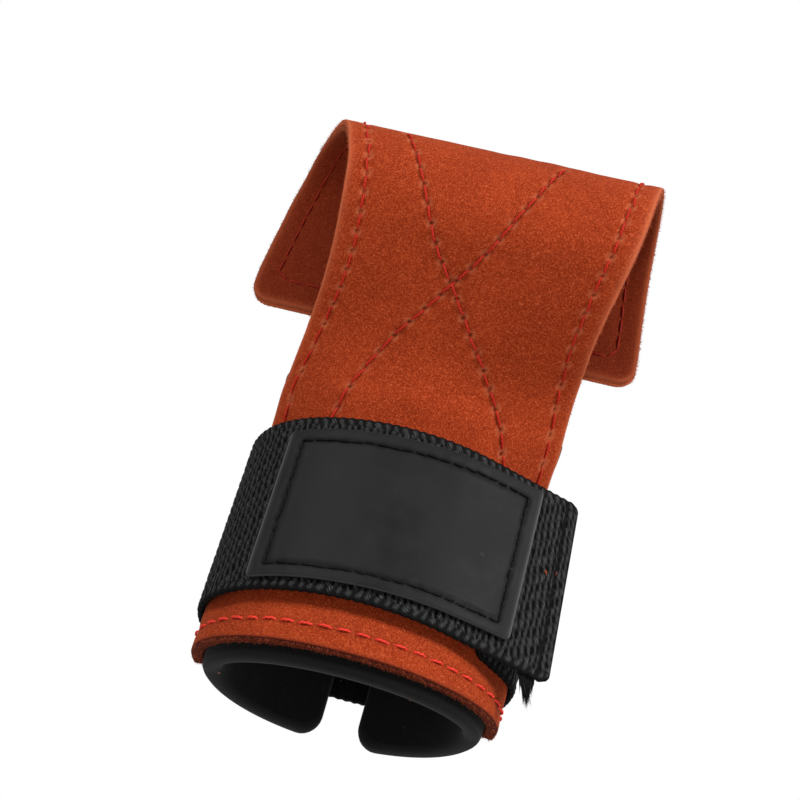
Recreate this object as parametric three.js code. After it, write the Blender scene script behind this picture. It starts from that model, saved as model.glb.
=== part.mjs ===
// Weightlifting hand grip, closed round a wrist-sized hollow, its palm leather curled over a round space.
// Millimetres and degrees. x runs across the palm, y from the palm face to the back, z up the wrist.
// The origin is the middle of the wrist hollow, level with the middle of the strap.
import * as THREE from "three";

// Wrist section, measured at the outer face of the palm leather
const WRIST_HALF_WIDTH = 39.2;
const WRIST_PALM_DEPTH = 27.5;
const WRIST_BACK_DEPTH = 30.3;

// Layer thicknesses and the space kept between neighbours
const CLEARANCE = 0.35;
const PALM_PLY = 1.5;
const BACKING_PLY = 1.2;
const PAD_THICKNESS = 5;
const LOOP_TAPE_THICKNESS = 0.7;
const HOOK_TAPE_THICKNESS = 0.9;
const STRAP_THICKNESS = 1.7;
const PATCH_THICKNESS = 1;
const BACKING_OUTER = -(PALM_PLY + CLEARANCE);
const PAD_OUTER = BACKING_OUTER - BACKING_PLY - CLEARANCE;

// How far the closed strap presses the layers under its two tapes inwards, and where that fades out
const PRESS = LOOP_TAPE_THICKNESS + HOOK_TAPE_THICKNESS + 2 * CLEARANCE;
const PRESS_ARC = 38;
const PRESS_ARC_FADE = 14;
const PRESS_HEIGHT_FADE = 8.5;

// Strap, its turns measured as arcs along the wrist section from the middle of the palm
const STRAP_WIDTH = 51;
const STRAP_LEVEL = -0.5;
const STRAP_INNER_END = 32;
const STRAP_STRAIGHT_FROM = 22;
const STRAP_FREE_END = 49.5;
const STRAP_RISE = -0.015;
const STRAP_END_SLANT = 0.046;
const STRAP_STEP_LENGTH = 12;
const STRAP_CORNER = 2.5;
const STRAP_PRESS_MARGIN = 0.5;
const HOOK_TAPE_FROM = -32;
const HOOK_TAPE_END_INSET = 4;
const LOOP_TAPE_FROM = -34;
const LOOP_TAPE_TO = 29;
const TAPE_WIDTH = 46;
const TAPE_CORNER = 1.5;

// Patch on the strap, sewn a little out of line with it
const PATCH_FROM = -29.4;
const PATCH_TO = 36.9;
const PATCH_LEVEL = -0.95;
const PATCH_TILT = 0.034;
const PATCH_HEIGHT = 43.3;
const PATCH_CORNER = 1.2;

// Wrist pad
const PAD_BOTTOM = -42.3;
const PAD_TOP = 50;
const PAD_BACK_OPENING = 11;
const PAD_RELEASE = 22;
const PAD_FLARE = 3;
const PAD_CORNER = 6;

// Round space inside the curl, and the path of the leather to it and round it
const CURL_SPACE_DIAMETER = 33;
const CURL_Y = -43.4;
const CURL_Z = 80;
const CURL_YAW = -6.3;
const CURL_TILT = -5.8;
const CURL_PLAY = 0.65;
const CURL_RADIUS = CURL_SPACE_DIAMETER / 2 + CURL_PLAY - BACKING_OUTER + BACKING_PLY;
const CREASE_Z = 28;
const CREASE_RADIUS = 25;
const CURL_EXIT_ANGLE = 180;
const CURL_SLACK = 1.5;
const CURL_SLACK_SLOPE = 0.045;
const FREE_LEG_LENGTH = 24.5;
const FREE_EDGE_SLANT = 0.042;
const SHEET_SHIFT_WRIST = 0.4;
const SHEET_SHIFT_CURL = 5;
const FLATTEN_FROM = 25;
const FLATTEN_TO = 72;
const LEATHER_BOTTOM = -39.2;
const LEATHER_HALF_WIDTH = 62;
const LEATHER_CORNER = 5;
const HEM_RISE = 2.6;
const HEM_RISE_ARC = 55;

// Outline of the leather sheet: shares of its length from the lower edge, and of its half-width on each side
const LEATHER_OUTLINE = [
  { along: 0, left: 1, right: 1 },
  { along: 0.1556, left: 1, right: 1 },
  { along: 0.2329, left: 0.8871, right: 0.8871 },
  { along: 0.2875, left: 0.7661, right: 0.7661 },
  { along: 0.3148, left: 0.729, right: 0.7194 },
  { along: 0.333, left: 0.7, right: 0.6903 },
  { along: 0.3649, left: 0.6548, right: 0.6419 },
  { along: 0.4013, left: 0.6226, right: 0.6081 },
  { along: 0.4377, left: 0.6065, right: 0.5839 },
  { along: 0.4786, left: 0.5952, right: 0.5839 },
  { along: 0.5196, left: 0.5968, right: 0.6097 },
  { along: 0.5514, left: 0.6032, right: 0.6323 },
  { along: 0.5878, left: 0.6161, right: 0.6516 },
  { along: 0.6879, left: 0.7097, right: 0.6871 },
  { along: 0.7698, left: 0.8065, right: 0.7194 },
  { along: 0.8608, left: 0.8871, right: 0.75 },
  { along: 0.9609, left: 0.9258, right: 0.771 },
  { along: 1.0428, left: 0.9258, right: 0.771 },
];

// Shares of the half-width at which the leather's columns lie
const LEATHER_SHARES = [0, 0.14, 0.28, 0.42, 0.54, 0.65, 0.74, 0.83, 0.92, 1];

// Row lengths of the solids, short where a form bends and long where it is flat
const FLAT_STEP = 10;
const RUN_STEP = 6;
const GENTLE_STEP = 5;
const CURVE_STEP = 4.3;
const BAND_STEP = 3.5;
const BAND_FINE_STEP = 3;
const CREASE_STEP = 4.5;
const HEM_STEP_FROM = -34;
const LEVEL_STEP_FROM = -5;
const PAD_COLUMNS = 52;
const CORNER_SHARES = [0, 0.12, 0.45, 1];
const NEAR_REPEAT = 0.05;
const SLOPE_REACH = 0.25;

// Colours and surface values
const LEATHER_COLOUR = 0xa8431f;
const BACKING_COLOUR = 0x9a3c1c;
const PAD_COLOUR = 0x141416;
const WEBBING_COLOUR = 0x1f2023;
const TAPE_COLOUR = 0x18181a;
const PATCH_COLOUR = 0x2b2c2e;

const radians = THREE.MathUtils.degToRad;
const smooth = THREE.MathUtils.smoothstep;

// Arc table of the wrist section, from the middle of the palm towards positive x and all the way round
const SECTION_STEPS = 1440;
const sectionTable = [{ angle: 0, arc: 0 }];
function sectionAtAngle(angle) {
  const depth = Math.cos(angle) > 0 ? WRIST_PALM_DEPTH : WRIST_BACK_DEPTH;
  const point = new THREE.Vector2(WRIST_HALF_WIDTH * Math.sin(angle), -depth * Math.cos(angle));
  const normal = new THREE.Vector2(Math.sin(angle) / WRIST_HALF_WIDTH, -Math.cos(angle) / depth);
  return { point, normal: normal.normalize() };
}
for (let i = 1; i <= SECTION_STEPS; i++) {
  const angle = (2 * Math.PI * i) / SECTION_STEPS;
  const last = sectionTable[i - 1];
  const chord = sectionAtAngle(angle).point.distanceTo(sectionAtAngle(last.angle).point);
  sectionTable.push({ angle, arc: last.arc + chord });
}
const SECTION_LENGTH = sectionTable[SECTION_STEPS].arc;

// Point and outward normal of the wrist section at an arc
function section(arc) {
  const turn = THREE.MathUtils.euclideanModulo(arc, SECTION_LENGTH);
  let low = 0;
  let high = SECTION_STEPS;
  while (high - low > 1) {
    const middle = (low + high) >> 1;
    if (sectionTable[middle].arc <= turn) low = middle;
    else high = middle;
  }
  const share = (turn - sectionTable[low].arc) / (sectionTable[high].arc - sectionTable[low].arc);
  return sectionAtAngle(THREE.MathUtils.lerp(sectionTable[low].angle, sectionTable[high].angle, share));
}

// Point at a distance out from the section's plane curve, at a height
function wristPoint(point, normal, out, height) {
  return [SHEET_SHIFT_WRIST + point.x + out * normal.x, point.y + out * normal.y, height];
}

// Inward press of the strap on the layers under it, gone at a distance past the strap's edges
const besidePress = (arc) => smooth(Math.abs(arc), PRESS_ARC, PRESS_ARC + PRESS_ARC_FADE);
function press(arc, height, release = PRESS_HEIGHT_FADE) {
  const edge = STRAP_WIDTH / 2 + STRAP_PRESS_MARGIN;
  return PRESS * (1 - besidePress(arc)) * (1 - smooth(Math.abs(height), edge, edge + release));
}

// Rise of the two lower edges from the middle of the palm towards the sides, none under the strap
function hemRise(arc, height) {
  const below = 1 - smooth(height, LEATHER_BOTTOM, -STRAP_WIDTH / 2);
  return HEM_RISE * below * Math.min(Math.abs(arc) / HEM_RISE_ARC, 1) ** 2;
}

// Value from a table with a column of places, linear between its rows
function lookUp(table, column, place, value) {
  let row = 1;
  while (row < table.length - 1 && table[row][column] < place) row++;
  const [before, after] = [table[row - 1], table[row]];
  const share = THREE.MathUtils.clamp((place - before[column]) / (after[column] - before[column]), 0, 1);
  return THREE.MathUtils.lerp(before[value], after[value], share);
}

// How much a rounded corner takes off a side, at a distance from the end of that side
function cornerTrim(distance, radius) {
  const inside = THREE.MathUtils.clamp(radius - distance, 0, radius);
  return radius - Math.sqrt(radius * radius - inside * inside);
}

// Places from one value to another in about equal steps
function steps(from, to, length) {
  const count = Math.max(1, Math.round(Math.abs(to - from) / length));
  return Array.from({ length: count + 1 }, (_, i) => THREE.MathUtils.lerp(from, to, i / count));
}

// Sorted places without near repeats
function places(...lists) {
  const sorted = lists.flat().sort((a, b) => a - b);
  return sorted.filter((place, i) => i === 0 || place - sorted[i - 1] > NEAR_REPEAT);
}

// Rows near an end that carry a rounded corner
const cornerRows = (end, radius, inward) => CORNER_SHARES.map((share) => end + inward * share * radius);

// Closed solid between two faces of a grid: at(row, column, face) gives a point, face 1 outer and 0 inner
function shell(rows, columns, at) {
  const position = [];
  const index = [];
  const id = (row, column, face) => (face * rows.length + row) * columns.length + column;
  for (const face of [0, 1]) {
    for (const row of rows) {
      for (const column of columns) position.push(...at(row, column, face));
    }
  }
  const quad = (a, b, c, d) => index.push(a, b, c, a, c, d);
  const mirroredQuad = (a, b, c, d) => quad(b, c, d, a);
  const lastRow = rows.length - 1;
  const lastColumn = columns.length - 1;
  for (let r = 0; r < lastRow; r++) {
    for (let c = 0; c < lastColumn; c++) {
      const cell = columns[c] + columns[c + 1] < 0 ? mirroredQuad : quad;
      cell(id(r, c, 1), id(r, c + 1, 1), id(r + 1, c + 1, 1), id(r + 1, c, 1));
      cell(id(r, c, 0), id(r + 1, c, 0), id(r + 1, c + 1, 0), id(r, c + 1, 0));
    }
    quad(id(r, 0, 0), id(r, 0, 1), id(r + 1, 0, 1), id(r + 1, 0, 0));
    quad(id(r, lastColumn, 0), id(r + 1, lastColumn, 0), id(r + 1, lastColumn, 1), id(r, lastColumn, 1));
  }
  for (let c = 0; c < lastColumn; c++) {
    quad(id(0, c, 0), id(0, c + 1, 0), id(0, c + 1, 1), id(0, c, 1));
    quad(id(lastRow, c, 0), id(lastRow, c, 1), id(lastRow, c + 1, 1), id(lastRow, c + 1, 0));
  }
  const geometry = new THREE.BufferGeometry();
  geometry.setAttribute("position", new THREE.Float32BufferAttribute(position, 3));
  geometry.setIndex(index);
  geometry.computeVertexNormals();
  return geometry;
}

const group = new THREE.Group();
group.name = "weightlifting_hand_grip";
function add(name, geometry, color, roughness) {
  const mesh = new THREE.Mesh(geometry, new THREE.MeshStandardMaterial({ color, roughness, metalness: 0 }));
  mesh.name = name;
  group.add(mesh);
}

// Middle line of the leather: up the wrist, a crease away from the palm, a straight run, the curl, a free leg
const curlAxis = new THREE.Vector3(
  Math.cos(radians(CURL_YAW)) * Math.cos(radians(CURL_TILT)),
  Math.sin(radians(CURL_YAW)) * Math.cos(radians(CURL_TILT)),
  Math.sin(radians(CURL_TILT)),
);
const creaseCentre = new THREE.Vector2(-WRIST_PALM_DEPTH - CREASE_RADIUS, CREASE_Z);
const toCurl = new THREE.Vector2(CURL_Y, CURL_Z).sub(creaseCentre);
const LEAN = Math.asin((CREASE_RADIUS + CURL_RADIUS) / toCurl.length()) - Math.atan2(toCurl.x, toCurl.y);
const RUN_FROM = CREASE_Z + CREASE_RADIUS * LEAN;
const RUN_LENGTH = Math.sqrt(toCurl.lengthSq() - (CREASE_RADIUS + CURL_RADIUS) ** 2);
const CURL_FROM = RUN_FROM + RUN_LENGTH;
const CURL_TO = CURL_FROM + CURL_RADIUS * (radians(CURL_EXIT_ANGLE) + LEAN);
const LEATHER_END = CURL_TO + FREE_LEG_LENGTH;

function middleLine(along) {
  if (along <= CREASE_Z) return { y: -WRIST_PALM_DEPTH, z: along, heading: 0 };
  const creased = Math.min(along, RUN_FROM) - CREASE_Z;
  let heading = -creased / CREASE_RADIUS;
  let y = creaseCentre.x + CREASE_RADIUS * Math.cos(heading);
  let z = creaseCentre.y - CREASE_RADIUS * Math.sin(heading);
  if (along <= CURL_FROM) {
    const run = Math.max(along - RUN_FROM, 0);
    return { y: y + run * Math.sin(heading), z: z + run * Math.cos(heading), heading };
  }
  heading = (Math.min(along, CURL_TO) - CURL_FROM) / CURL_RADIUS - LEAN;
  const leg = Math.max(along - CURL_TO, 0);
  y = CURL_Y - CURL_RADIUS * Math.cos(heading) + leg * Math.sin(heading);
  z = CURL_Z + CURL_RADIUS * Math.sin(heading) + leg * Math.cos(heading);
  return { y, z, heading };
}

// Outer face of the leather before the strap presses it
function leatherFace(along, across) {
  const { y, z, heading } = middleLine(along);
  const flat = smooth(along, FLATTEN_FROM, FLATTEN_TO);
  const { point } = section(across);
  const sideways = new THREE.Vector3(1, 0, 0).lerp(curlAxis, flat).normalize();
  const tangent = new THREE.Vector3(0, Math.sin(heading), Math.cos(heading));
  const inward = new THREE.Vector3().crossVectors(tangent, sideways).normalize();
  const shift = THREE.MathUtils.lerp(SHEET_SHIFT_WRIST, SHEET_SHIFT_CURL, flat);
  const slack = (CURL_SLACK + CURL_SLACK_SLOPE * across) * Math.max(Math.sin(heading), 0) ** 2;
  return new THREE.Vector3(shift, y, z)
    .addScaledVector(sideways, THREE.MathUtils.lerp(point.x, across, flat))
    .addScaledVector(inward, (1 - flat) * (WRIST_PALM_DEPTH + point.y) - slack);
}

// Point of a leather ply at a depth under the outer face
function leatherPoint(along, across, depth) {
  const up = leatherFace(along + SLOPE_REACH, across).sub(leatherFace(along - SLOPE_REACH, across));
  const right = leatherFace(along, across + SLOPE_REACH).sub(leatherFace(along, across - SLOPE_REACH));
  const inward = up.cross(right).normalize();
  return leatherFace(along, across).addScaledVector(inward, depth + press(across, along));
}

const leatherRows = places(
  cornerRows(LEATHER_BOTTOM, LEATHER_CORNER, 1),
  steps(HEM_STEP_FROM, -STRAP_WIDTH / 2, CURVE_STEP),
  steps(-STRAP_WIDTH / 2, LEVEL_STEP_FROM, FLAT_STEP),
  steps(LEVEL_STEP_FROM, STRAP_WIDTH / 2, GENTLE_STEP),
  steps(STRAP_WIDTH / 2, CREASE_Z, BAND_FINE_STEP),
  steps(CREASE_Z, RUN_FROM, CREASE_STEP),
  steps(RUN_FROM, CURL_FROM, RUN_STEP),
  steps(CURL_FROM, CURL_TO, CURVE_STEP),
  steps(CURL_TO, LEATHER_END - LEATHER_CORNER, RUN_STEP),
  cornerRows(LEATHER_END, LEATHER_CORNER, -1),
);
const leatherColumns = places(LEATHER_SHARES.map((share) => -share), LEATHER_SHARES);

function leatherPly(outer, thickness) {
  return shell(leatherRows, leatherColumns, (along, share, face) => {
    const side = share < 0 ? "left" : "right";
    const edge = Math.min(along - LEATHER_BOTTOM, LEATHER_END - along);
    const reached = (along - LEATHER_BOTTOM) / (LEATHER_END - LEATHER_BOTTOM);
    const outline = LEATHER_HALF_WIDTH * lookUp(LEATHER_OUTLINE, "along", reached, side);
    const width = outline - cornerTrim(edge, LEATHER_CORNER);
    const across = share * width;
    const slant = FREE_EDGE_SLANT * across * smooth(along, CURL_TO, LEATHER_END);
    const place = along - slant + hemRise(across, along);
    return leatherPoint(place, across, face === 1 ? outer : outer + thickness);
  });
}

add("palm_leather", leatherPly(0, PALM_PLY), LEATHER_COLOUR, 0.92);
add("backing_leather", leatherPly(-BACKING_OUTER, BACKING_PLY), BACKING_COLOUR, 0.92);

// Wrist pad: neoprene all round the wrist but for an opening at the back
const padHalf = (SECTION_LENGTH - PAD_BACK_OPENING) / 2;
const padRows = places(
  cornerRows(PAD_BOTTOM, PAD_CORNER, 1),
  steps(PAD_BOTTOM + PAD_CORNER, -STRAP_WIDTH / 2, GENTLE_STEP),
  steps(STRAP_WIDTH / 2, PAD_TOP - PAD_CORNER, GENTLE_STEP),
  cornerRows(PAD_TOP, PAD_CORNER, -1),
);
const padColumns = steps(-1, 1, 2 / PAD_COLUMNS);
const pad = shell(padRows, padColumns, (height, share, face) => {
  const edge = Math.min(height - PAD_BOTTOM, PAD_TOP - height);
  const arc = share * (padHalf - cornerTrim(edge, PAD_CORNER));
  const flare = PAD_FLARE * besidePress(arc) * smooth(height, STRAP_WIDTH / 2, PAD_TOP);
  const place = height + hemRise(arc, height);
  const release = height > 0 ? PAD_RELEASE : PRESS_HEIGHT_FADE;
  const out = PAD_OUTER + flare - press(arc, place, release) - (face === 1 ? 0 : PAD_THICKNESS);
  const { point, normal } = section(arc);
  return wristPoint(point, normal, out, place);
});
add("wrist_pad", pad, PAD_COLOUR, 0.85);

// Height of the strap's inner face over the wrist section, along its turn from the inner end
const LEATHER_EDGE = LEATHER_HALF_WIDTH + STRAP_PRESS_MARGIN;
const backRest = PAD_OUTER + CLEARANCE;
function strapRest(arc) {
  const innerTurn = CLEARANCE - press(arc, 0);
  const dropped = smooth(arc, LEATHER_EDGE, LEATHER_EDGE + STRAP_STEP_LENGTH);
  const left = SECTION_LENGTH - LEATHER_EDGE;
  const raised = smooth(arc, left - STRAP_STEP_LENGTH, left);
  return THREE.MathUtils.lerp(THREE.MathUtils.lerp(innerTurn, backRest, dropped), CLEARANCE, raised);
}

// Point and outward normal of the strap's inner face at an arc, straight past the start of the free end
function strapLine(arc) {
  const onWrist = (place) => {
    const { point, normal } = section(place);
    return point.clone().addScaledVector(normal, strapRest(place));
  };
  const bent = Math.min(arc, SECTION_LENGTH + STRAP_STRAIGHT_FROM);
  const heading = onWrist(bent).sub(onWrist(bent - SLOPE_REACH)).normalize();
  const point = onWrist(bent).addScaledVector(heading, arc - bent);
  return { point, normal: new THREE.Vector2(heading.y, -heading.x) };
}

// Height of the strap's middle, and how much further round its slanting free end runs at a height below that
const strapLevel = (arc) => STRAP_LEVEL + STRAP_RISE * Math.max(arc - SECTION_LENGTH, 0);
function endSlant(arc, below) {
  const past = arc - SECTION_LENGTH;
  return STRAP_END_SLANT * below * smooth(past, STRAP_STRAIGHT_FROM, STRAP_FREE_END);
}

// Band that follows the strap between two heights over its inner face
function strapBand({ from, to, width, corner, inner, outer, step, level = strapLevel, slant = endSlant }) {
  const body = steps(from + corner, to - corner, step);
  const rows = places(cornerRows(from, corner, 1), body, cornerRows(to, corner, -1));
  return shell(rows, [-1, 1], (arc, side, face) => {
    const edge = Math.min(arc - from, to - arc);
    const below = side * (width / 2 - cornerTrim(edge, corner));
    const { point, normal } = strapLine(arc + slant(arc, below));
    const out = face === 1 ? outer : inner;
    return wristPoint(point, normal, out, level(arc) - below);
  });
}

add(
  "loop_tape",
  shell(steps(LOOP_TAPE_FROM, LOOP_TAPE_TO, BAND_STEP), [1, -1], (arc, side, face) => {
    const out = CLEARANCE - PRESS + (face === 1 ? LOOP_TAPE_THICKNESS : 0);
    const { point, normal } = section(arc);
    return wristPoint(point, normal, out, (side * TAPE_WIDTH) / 2);
  }),
  TAPE_COLOUR,
  0.95,
);

add(
  "strap",
  strapBand({
    from: STRAP_INNER_END,
    to: SECTION_LENGTH + STRAP_FREE_END,
    width: STRAP_WIDTH,
    corner: STRAP_CORNER,
    inner: 0,
    outer: STRAP_THICKNESS,
    step: BAND_FINE_STEP,
  }),
  WEBBING_COLOUR,
  0.8,
);

add(
  "hook_tape",
  strapBand({
    from: SECTION_LENGTH + HOOK_TAPE_FROM,
    to: SECTION_LENGTH + STRAP_FREE_END - HOOK_TAPE_END_INSET,
    width: TAPE_WIDTH,
    corner: TAPE_CORNER,
    inner: -CLEARANCE - HOOK_TAPE_THICKNESS,
    outer: -CLEARANCE,
    step: BAND_STEP,
  }),
  TAPE_COLOUR,
  0.95,
);

add(
  "patch",
  strapBand({
    from: SECTION_LENGTH + PATCH_FROM,
    to: SECTION_LENGTH + PATCH_TO,
    width: PATCH_HEIGHT,
    corner: PATCH_CORNER,
    inner: STRAP_THICKNESS + CLEARANCE,
    outer: STRAP_THICKNESS + CLEARANCE + PATCH_THICKNESS,
    step: BAND_STEP,
    level: (arc) => PATCH_LEVEL + PATCH_TILT * (arc - SECTION_LENGTH),
    slant: () => 0,
  }),
  PATCH_COLOUR,
  0.6,
);

export default group;
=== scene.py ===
# Weightlifting hand grip: a two-ply leather sheet, a neoprene wrist pad and a webbing strap, closed as when worn.
# Sizes are in millimetres. "arc" runs round the wrist section from the middle of the palm, "along" runs up the
# leather from the middle of the strap, and "across" runs sideways on the leather from its middle line.
import math
from functools import partial
import bmesh
import bpy
import numpy as np
from mathutils import Matrix, Vector


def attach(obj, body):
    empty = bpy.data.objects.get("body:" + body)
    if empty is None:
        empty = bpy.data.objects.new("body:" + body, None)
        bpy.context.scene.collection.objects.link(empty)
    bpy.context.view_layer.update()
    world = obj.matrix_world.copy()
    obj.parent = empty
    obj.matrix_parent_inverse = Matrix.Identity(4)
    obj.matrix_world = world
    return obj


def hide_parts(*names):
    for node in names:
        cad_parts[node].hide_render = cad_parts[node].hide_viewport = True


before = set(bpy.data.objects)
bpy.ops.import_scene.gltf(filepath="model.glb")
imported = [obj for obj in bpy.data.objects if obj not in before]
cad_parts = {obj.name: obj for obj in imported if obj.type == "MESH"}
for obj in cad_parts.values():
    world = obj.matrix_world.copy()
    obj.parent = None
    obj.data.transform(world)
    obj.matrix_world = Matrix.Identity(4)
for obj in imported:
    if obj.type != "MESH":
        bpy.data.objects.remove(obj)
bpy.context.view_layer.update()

scene = bpy.context.scene

# Studio: a pale floor well below the part, a dim even room, one soft lamp from the upper right, a weaker one from
# the upper left and one from behind. The camera stands low on the palm side and looks up along the grip.
FLOOR_HEIGHT = -0.45
FLOOR_REACH = 5.0
floor_mesh = bpy.data.meshes.new("studio_floor")
corners = [(-1, -1), (1, -1), (1, 1), (-1, 1)]
floor_mesh.from_pydata([(FLOOR_REACH * x, FLOOR_REACH * y, FLOOR_HEIGHT) for x, y in corners], [], [(0, 1, 2, 3)])
studio_floor = bpy.data.objects.new("studio_floor", floor_mesh)
scene.collection.objects.link(studio_floor)


def put(tree, kind, sockets=None, **settings):
    """Adds a shader node; each socket gets a value or a link."""
    made = tree.nodes.new("ShaderNode" + kind)
    for name, value in settings.items():
        setattr(made, name, value)
    for name, value in (sockets or {}).items():
        if isinstance(value, bpy.types.NodeSocket):
            tree.links.new(value, made.inputs[name])
        else:
            made.inputs[name].default_value = value
    return made


def finish_material(name, **constants):
    """Material with one Principled BSDF; constants are set on its own sockets."""
    made = bpy.data.materials.new(name)
    made.use_nodes = True
    surface = made.node_tree.nodes["Principled BSDF"]
    for label, value in constants.items():
        surface.inputs[label.replace("_", " ")].default_value = value
    return made, made.node_tree, surface


def dress(tree, surface, colour, height, strength, distance, roughness=None):
    """Links a colour, a fine relief and, where it varies, a roughness to a material's own surface node."""
    tree.links.new(colour, surface.inputs["Base Color"])
    if roughness is not None:
        tree.links.new(roughness, surface.inputs["Roughness"])
    relief = put(tree, "Bump", {"Height": height, "Strength": strength, "Distance": distance})
    tree.links.new(relief.outputs[0], surface.inputs["Normal"])


floor_paint = finish_material("floor_paint", Base_Color=(0.86, 0.86, 0.85, 1), Roughness=0.9)[0]
floor_mesh.materials.append(floor_paint)

ROOM_STRENGTH = 0.38
room = bpy.data.worlds.new("studio_room")
room.use_nodes = True
room_tree = room.node_tree
room_light = room_tree.nodes["Background"]
room_light.inputs["Strength"].default_value = ROOM_STRENGTH
room_light.inputs["Color"].default_value = (1, 1, 1, 1)
backdrop = put(room_tree, "Background", {"Color": (1, 1, 1, 1), "Strength": 1.0})
seen = put(room_tree, "LightPath").outputs["Is Camera Ray"]
room_mix = put(room_tree, "MixShader", {0: seen, 1: room_light.outputs[0], 2: backdrop.outputs[0]})
room_tree.links.new(room_mix.outputs[0], room_tree.nodes["World Output"].inputs["Surface"])
scene.world = room
scene.view_settings.view_transform = "Standard"

# name, place, point it aims at, width of its disk and power
LAMPS = [
    ("key_lamp", (0.8, -0.8, 0.45), (0, -0.03, 0.02), 0.4, 11.5),
    ("side_lamp", (-0.6, -0.9, 0.5), (0, -0.03, 0.02), 0.4, 6),
    ("rear_lamp", (0.2, 1.0, 0.9), (0, 0, 0.02), 0.6, 9),
]
for lamp_name, lamp_place, lamp_aim, lamp_width, lamp_power in LAMPS:
    lamp_data = bpy.data.lights.new(lamp_name, "AREA")
    lamp_data.shape = "DISK"
    lamp_data.size = lamp_width
    lamp_data.energy = lamp_power
    lamp = bpy.data.objects.new(lamp_name, lamp_data)
    lamp.location = lamp_place
    lamp.rotation_euler = (Vector(lamp_aim) - Vector(lamp_place)).to_track_quat("-Z", "Y").to_euler()
    scene.collection.objects.link(lamp)

CAMERA_PLACE = (0.025903, -0.436635, -0.234823)
CAMERA_RIGHT = Vector((0.967652, -0.083564, 0.238049))
CAMERA_UP = Vector((-0.244424, -0.544281, 0.802506))
CAMERA_AHEAD = Vector((-0.062505, 0.834731, 0.547099))
CAMERA_LENS = 86.43
SENSOR_WIDTH = 36
CLIP_START = 0.01
camera_data = bpy.data.cameras.new("camera")
camera_data.lens = CAMERA_LENS
camera_data.sensor_width = SENSOR_WIDTH
camera_data.clip_start = CLIP_START
camera = bpy.data.objects.new("camera", camera_data)
turn = Matrix((CAMERA_RIGHT, CAMERA_UP, -CAMERA_AHEAD)).transposed()
camera.matrix_world = Matrix.Translation(CAMERA_PLACE) @ turn.to_4x4()
scene.collection.objects.link(camera)
scene.camera = camera

# Palm leather: one sheet of thick split suede, nap outwards. It lies round the palm side of the wrist, leans away
# from the palm at a crease under the strap's upper edge, and curls once round an open space, 33 mm across.
MM = 0.001
WRIST_HALF_WIDTH = 39.2
WRIST_PALM_DEPTH = 27.5
WRIST_BACK_DEPTH = 30.3
CLEARANCE = 0.35
PALM_PLY = 1.5
BACKING_PLY = 1.2
BACKING_OUTER = -(PALM_PLY + CLEARANCE)
PAD_OUTER = BACKING_OUTER - BACKING_PLY - CLEARANCE
LOOP_TAPE_THICKNESS = 0.7
HOOK_TAPE_THICKNESS = 0.9
PRESS = LOOP_TAPE_THICKNESS + HOOK_TAPE_THICKNESS + 2 * CLEARANCE
PRESS_ARC = 38
PRESS_ARC_FADE = 14
PRESS_HEIGHT_FADE = 8.5
STRAP_WIDTH = 51
STRAP_PRESS_MARGIN = 0.5
CURL_SPACE = 33
CURL_Y = -43.4
CURL_Z = 80
CURL_YAW = math.radians(-6.3)
CURL_TILT = math.radians(-5.8)
CURL_PLAY = 0.65
CURL_RADIUS = CURL_SPACE / 2 + CURL_PLAY - BACKING_OUTER + BACKING_PLY
CREASE_Z = 28
CREASE_RADIUS = 25
CURL_SLACK = 1.5
CURL_SLACK_SLOPE = 0.045
FREE_LEG_LENGTH = 24.5
FREE_EDGE_SLANT = 0.042
SHEET_SHIFT_WRIST = 0.4
SHEET_SHIFT_CURL = 5
FLATTEN_FROM = 25
FLATTEN_TO = 72
LEATHER_BOTTOM = -39.2
LEATHER_CORNER = 5
HEM_RISE = 2.6
HEM_RISE_ARC = 55
LEATHER_HALF_WIDTH = 62
INSET_REACH = 9
HEADING_STEP = 0.25
FAR_AWAY = 1e9
# share of the length from the lower edge, then shares of the half-width on the left and on the right
LEATHER_OUTLINE = np.array([
    (0, 1, 1), (0.1556, 1, 1), (0.2329, 0.8871, 0.8871), (0.2875, 0.7661, 0.7661), (0.3148, 0.729, 0.7194),
    (0.333, 0.7, 0.6903), (0.3649, 0.6548, 0.6419), (0.4013, 0.6226, 0.6081), (0.4377, 0.6065, 0.5839),
    (0.4786, 0.5952, 0.5839), (0.5196, 0.5968, 0.6097), (0.5514, 0.6032, 0.6323), (0.5878, 0.6161, 0.6516),
    (0.6879, 0.7097, 0.6871), (0.7698, 0.8065, 0.7194), (0.8608, 0.8871, 0.75), (0.9609, 0.9258, 0.771),
    (1.0428, 0.9258, 0.771),
])
OUTLINE_SOFTENING = np.linspace(-3, 3, 7)

section_angles = np.linspace(0, 2 * math.pi, 1441)


def section_at_angle(angle):
    depth = np.where(np.cos(angle) > 0, WRIST_PALM_DEPTH, WRIST_BACK_DEPTH)
    point = np.stack([WRIST_HALF_WIDTH * np.sin(angle), -depth * np.cos(angle)], -1)
    normal = np.stack([np.sin(angle) / WRIST_HALF_WIDTH, -np.cos(angle) / depth], -1)
    return point, normal / np.linalg.norm(normal, axis=-1, keepdims=True)


section_chords = np.linalg.norm(np.diff(section_at_angle(section_angles)[0], axis=0), axis=-1)
section_arcs = np.concatenate([[0], np.cumsum(section_chords)])
SECTION_LENGTH = section_arcs[-1]


def section(arc):
    """Point and outward normal of the wrist section at an arc."""
    return section_at_angle(np.interp(np.mod(arc, SECTION_LENGTH), section_arcs, section_angles))


def smooth(value, low, high):
    share = np.clip((value - low) / (high - low), 0, 1)
    return share * share * (3 - 2 * share)


def beside_press(arc):
    return smooth(np.abs(arc), PRESS_ARC, PRESS_ARC + PRESS_ARC_FADE)


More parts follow.
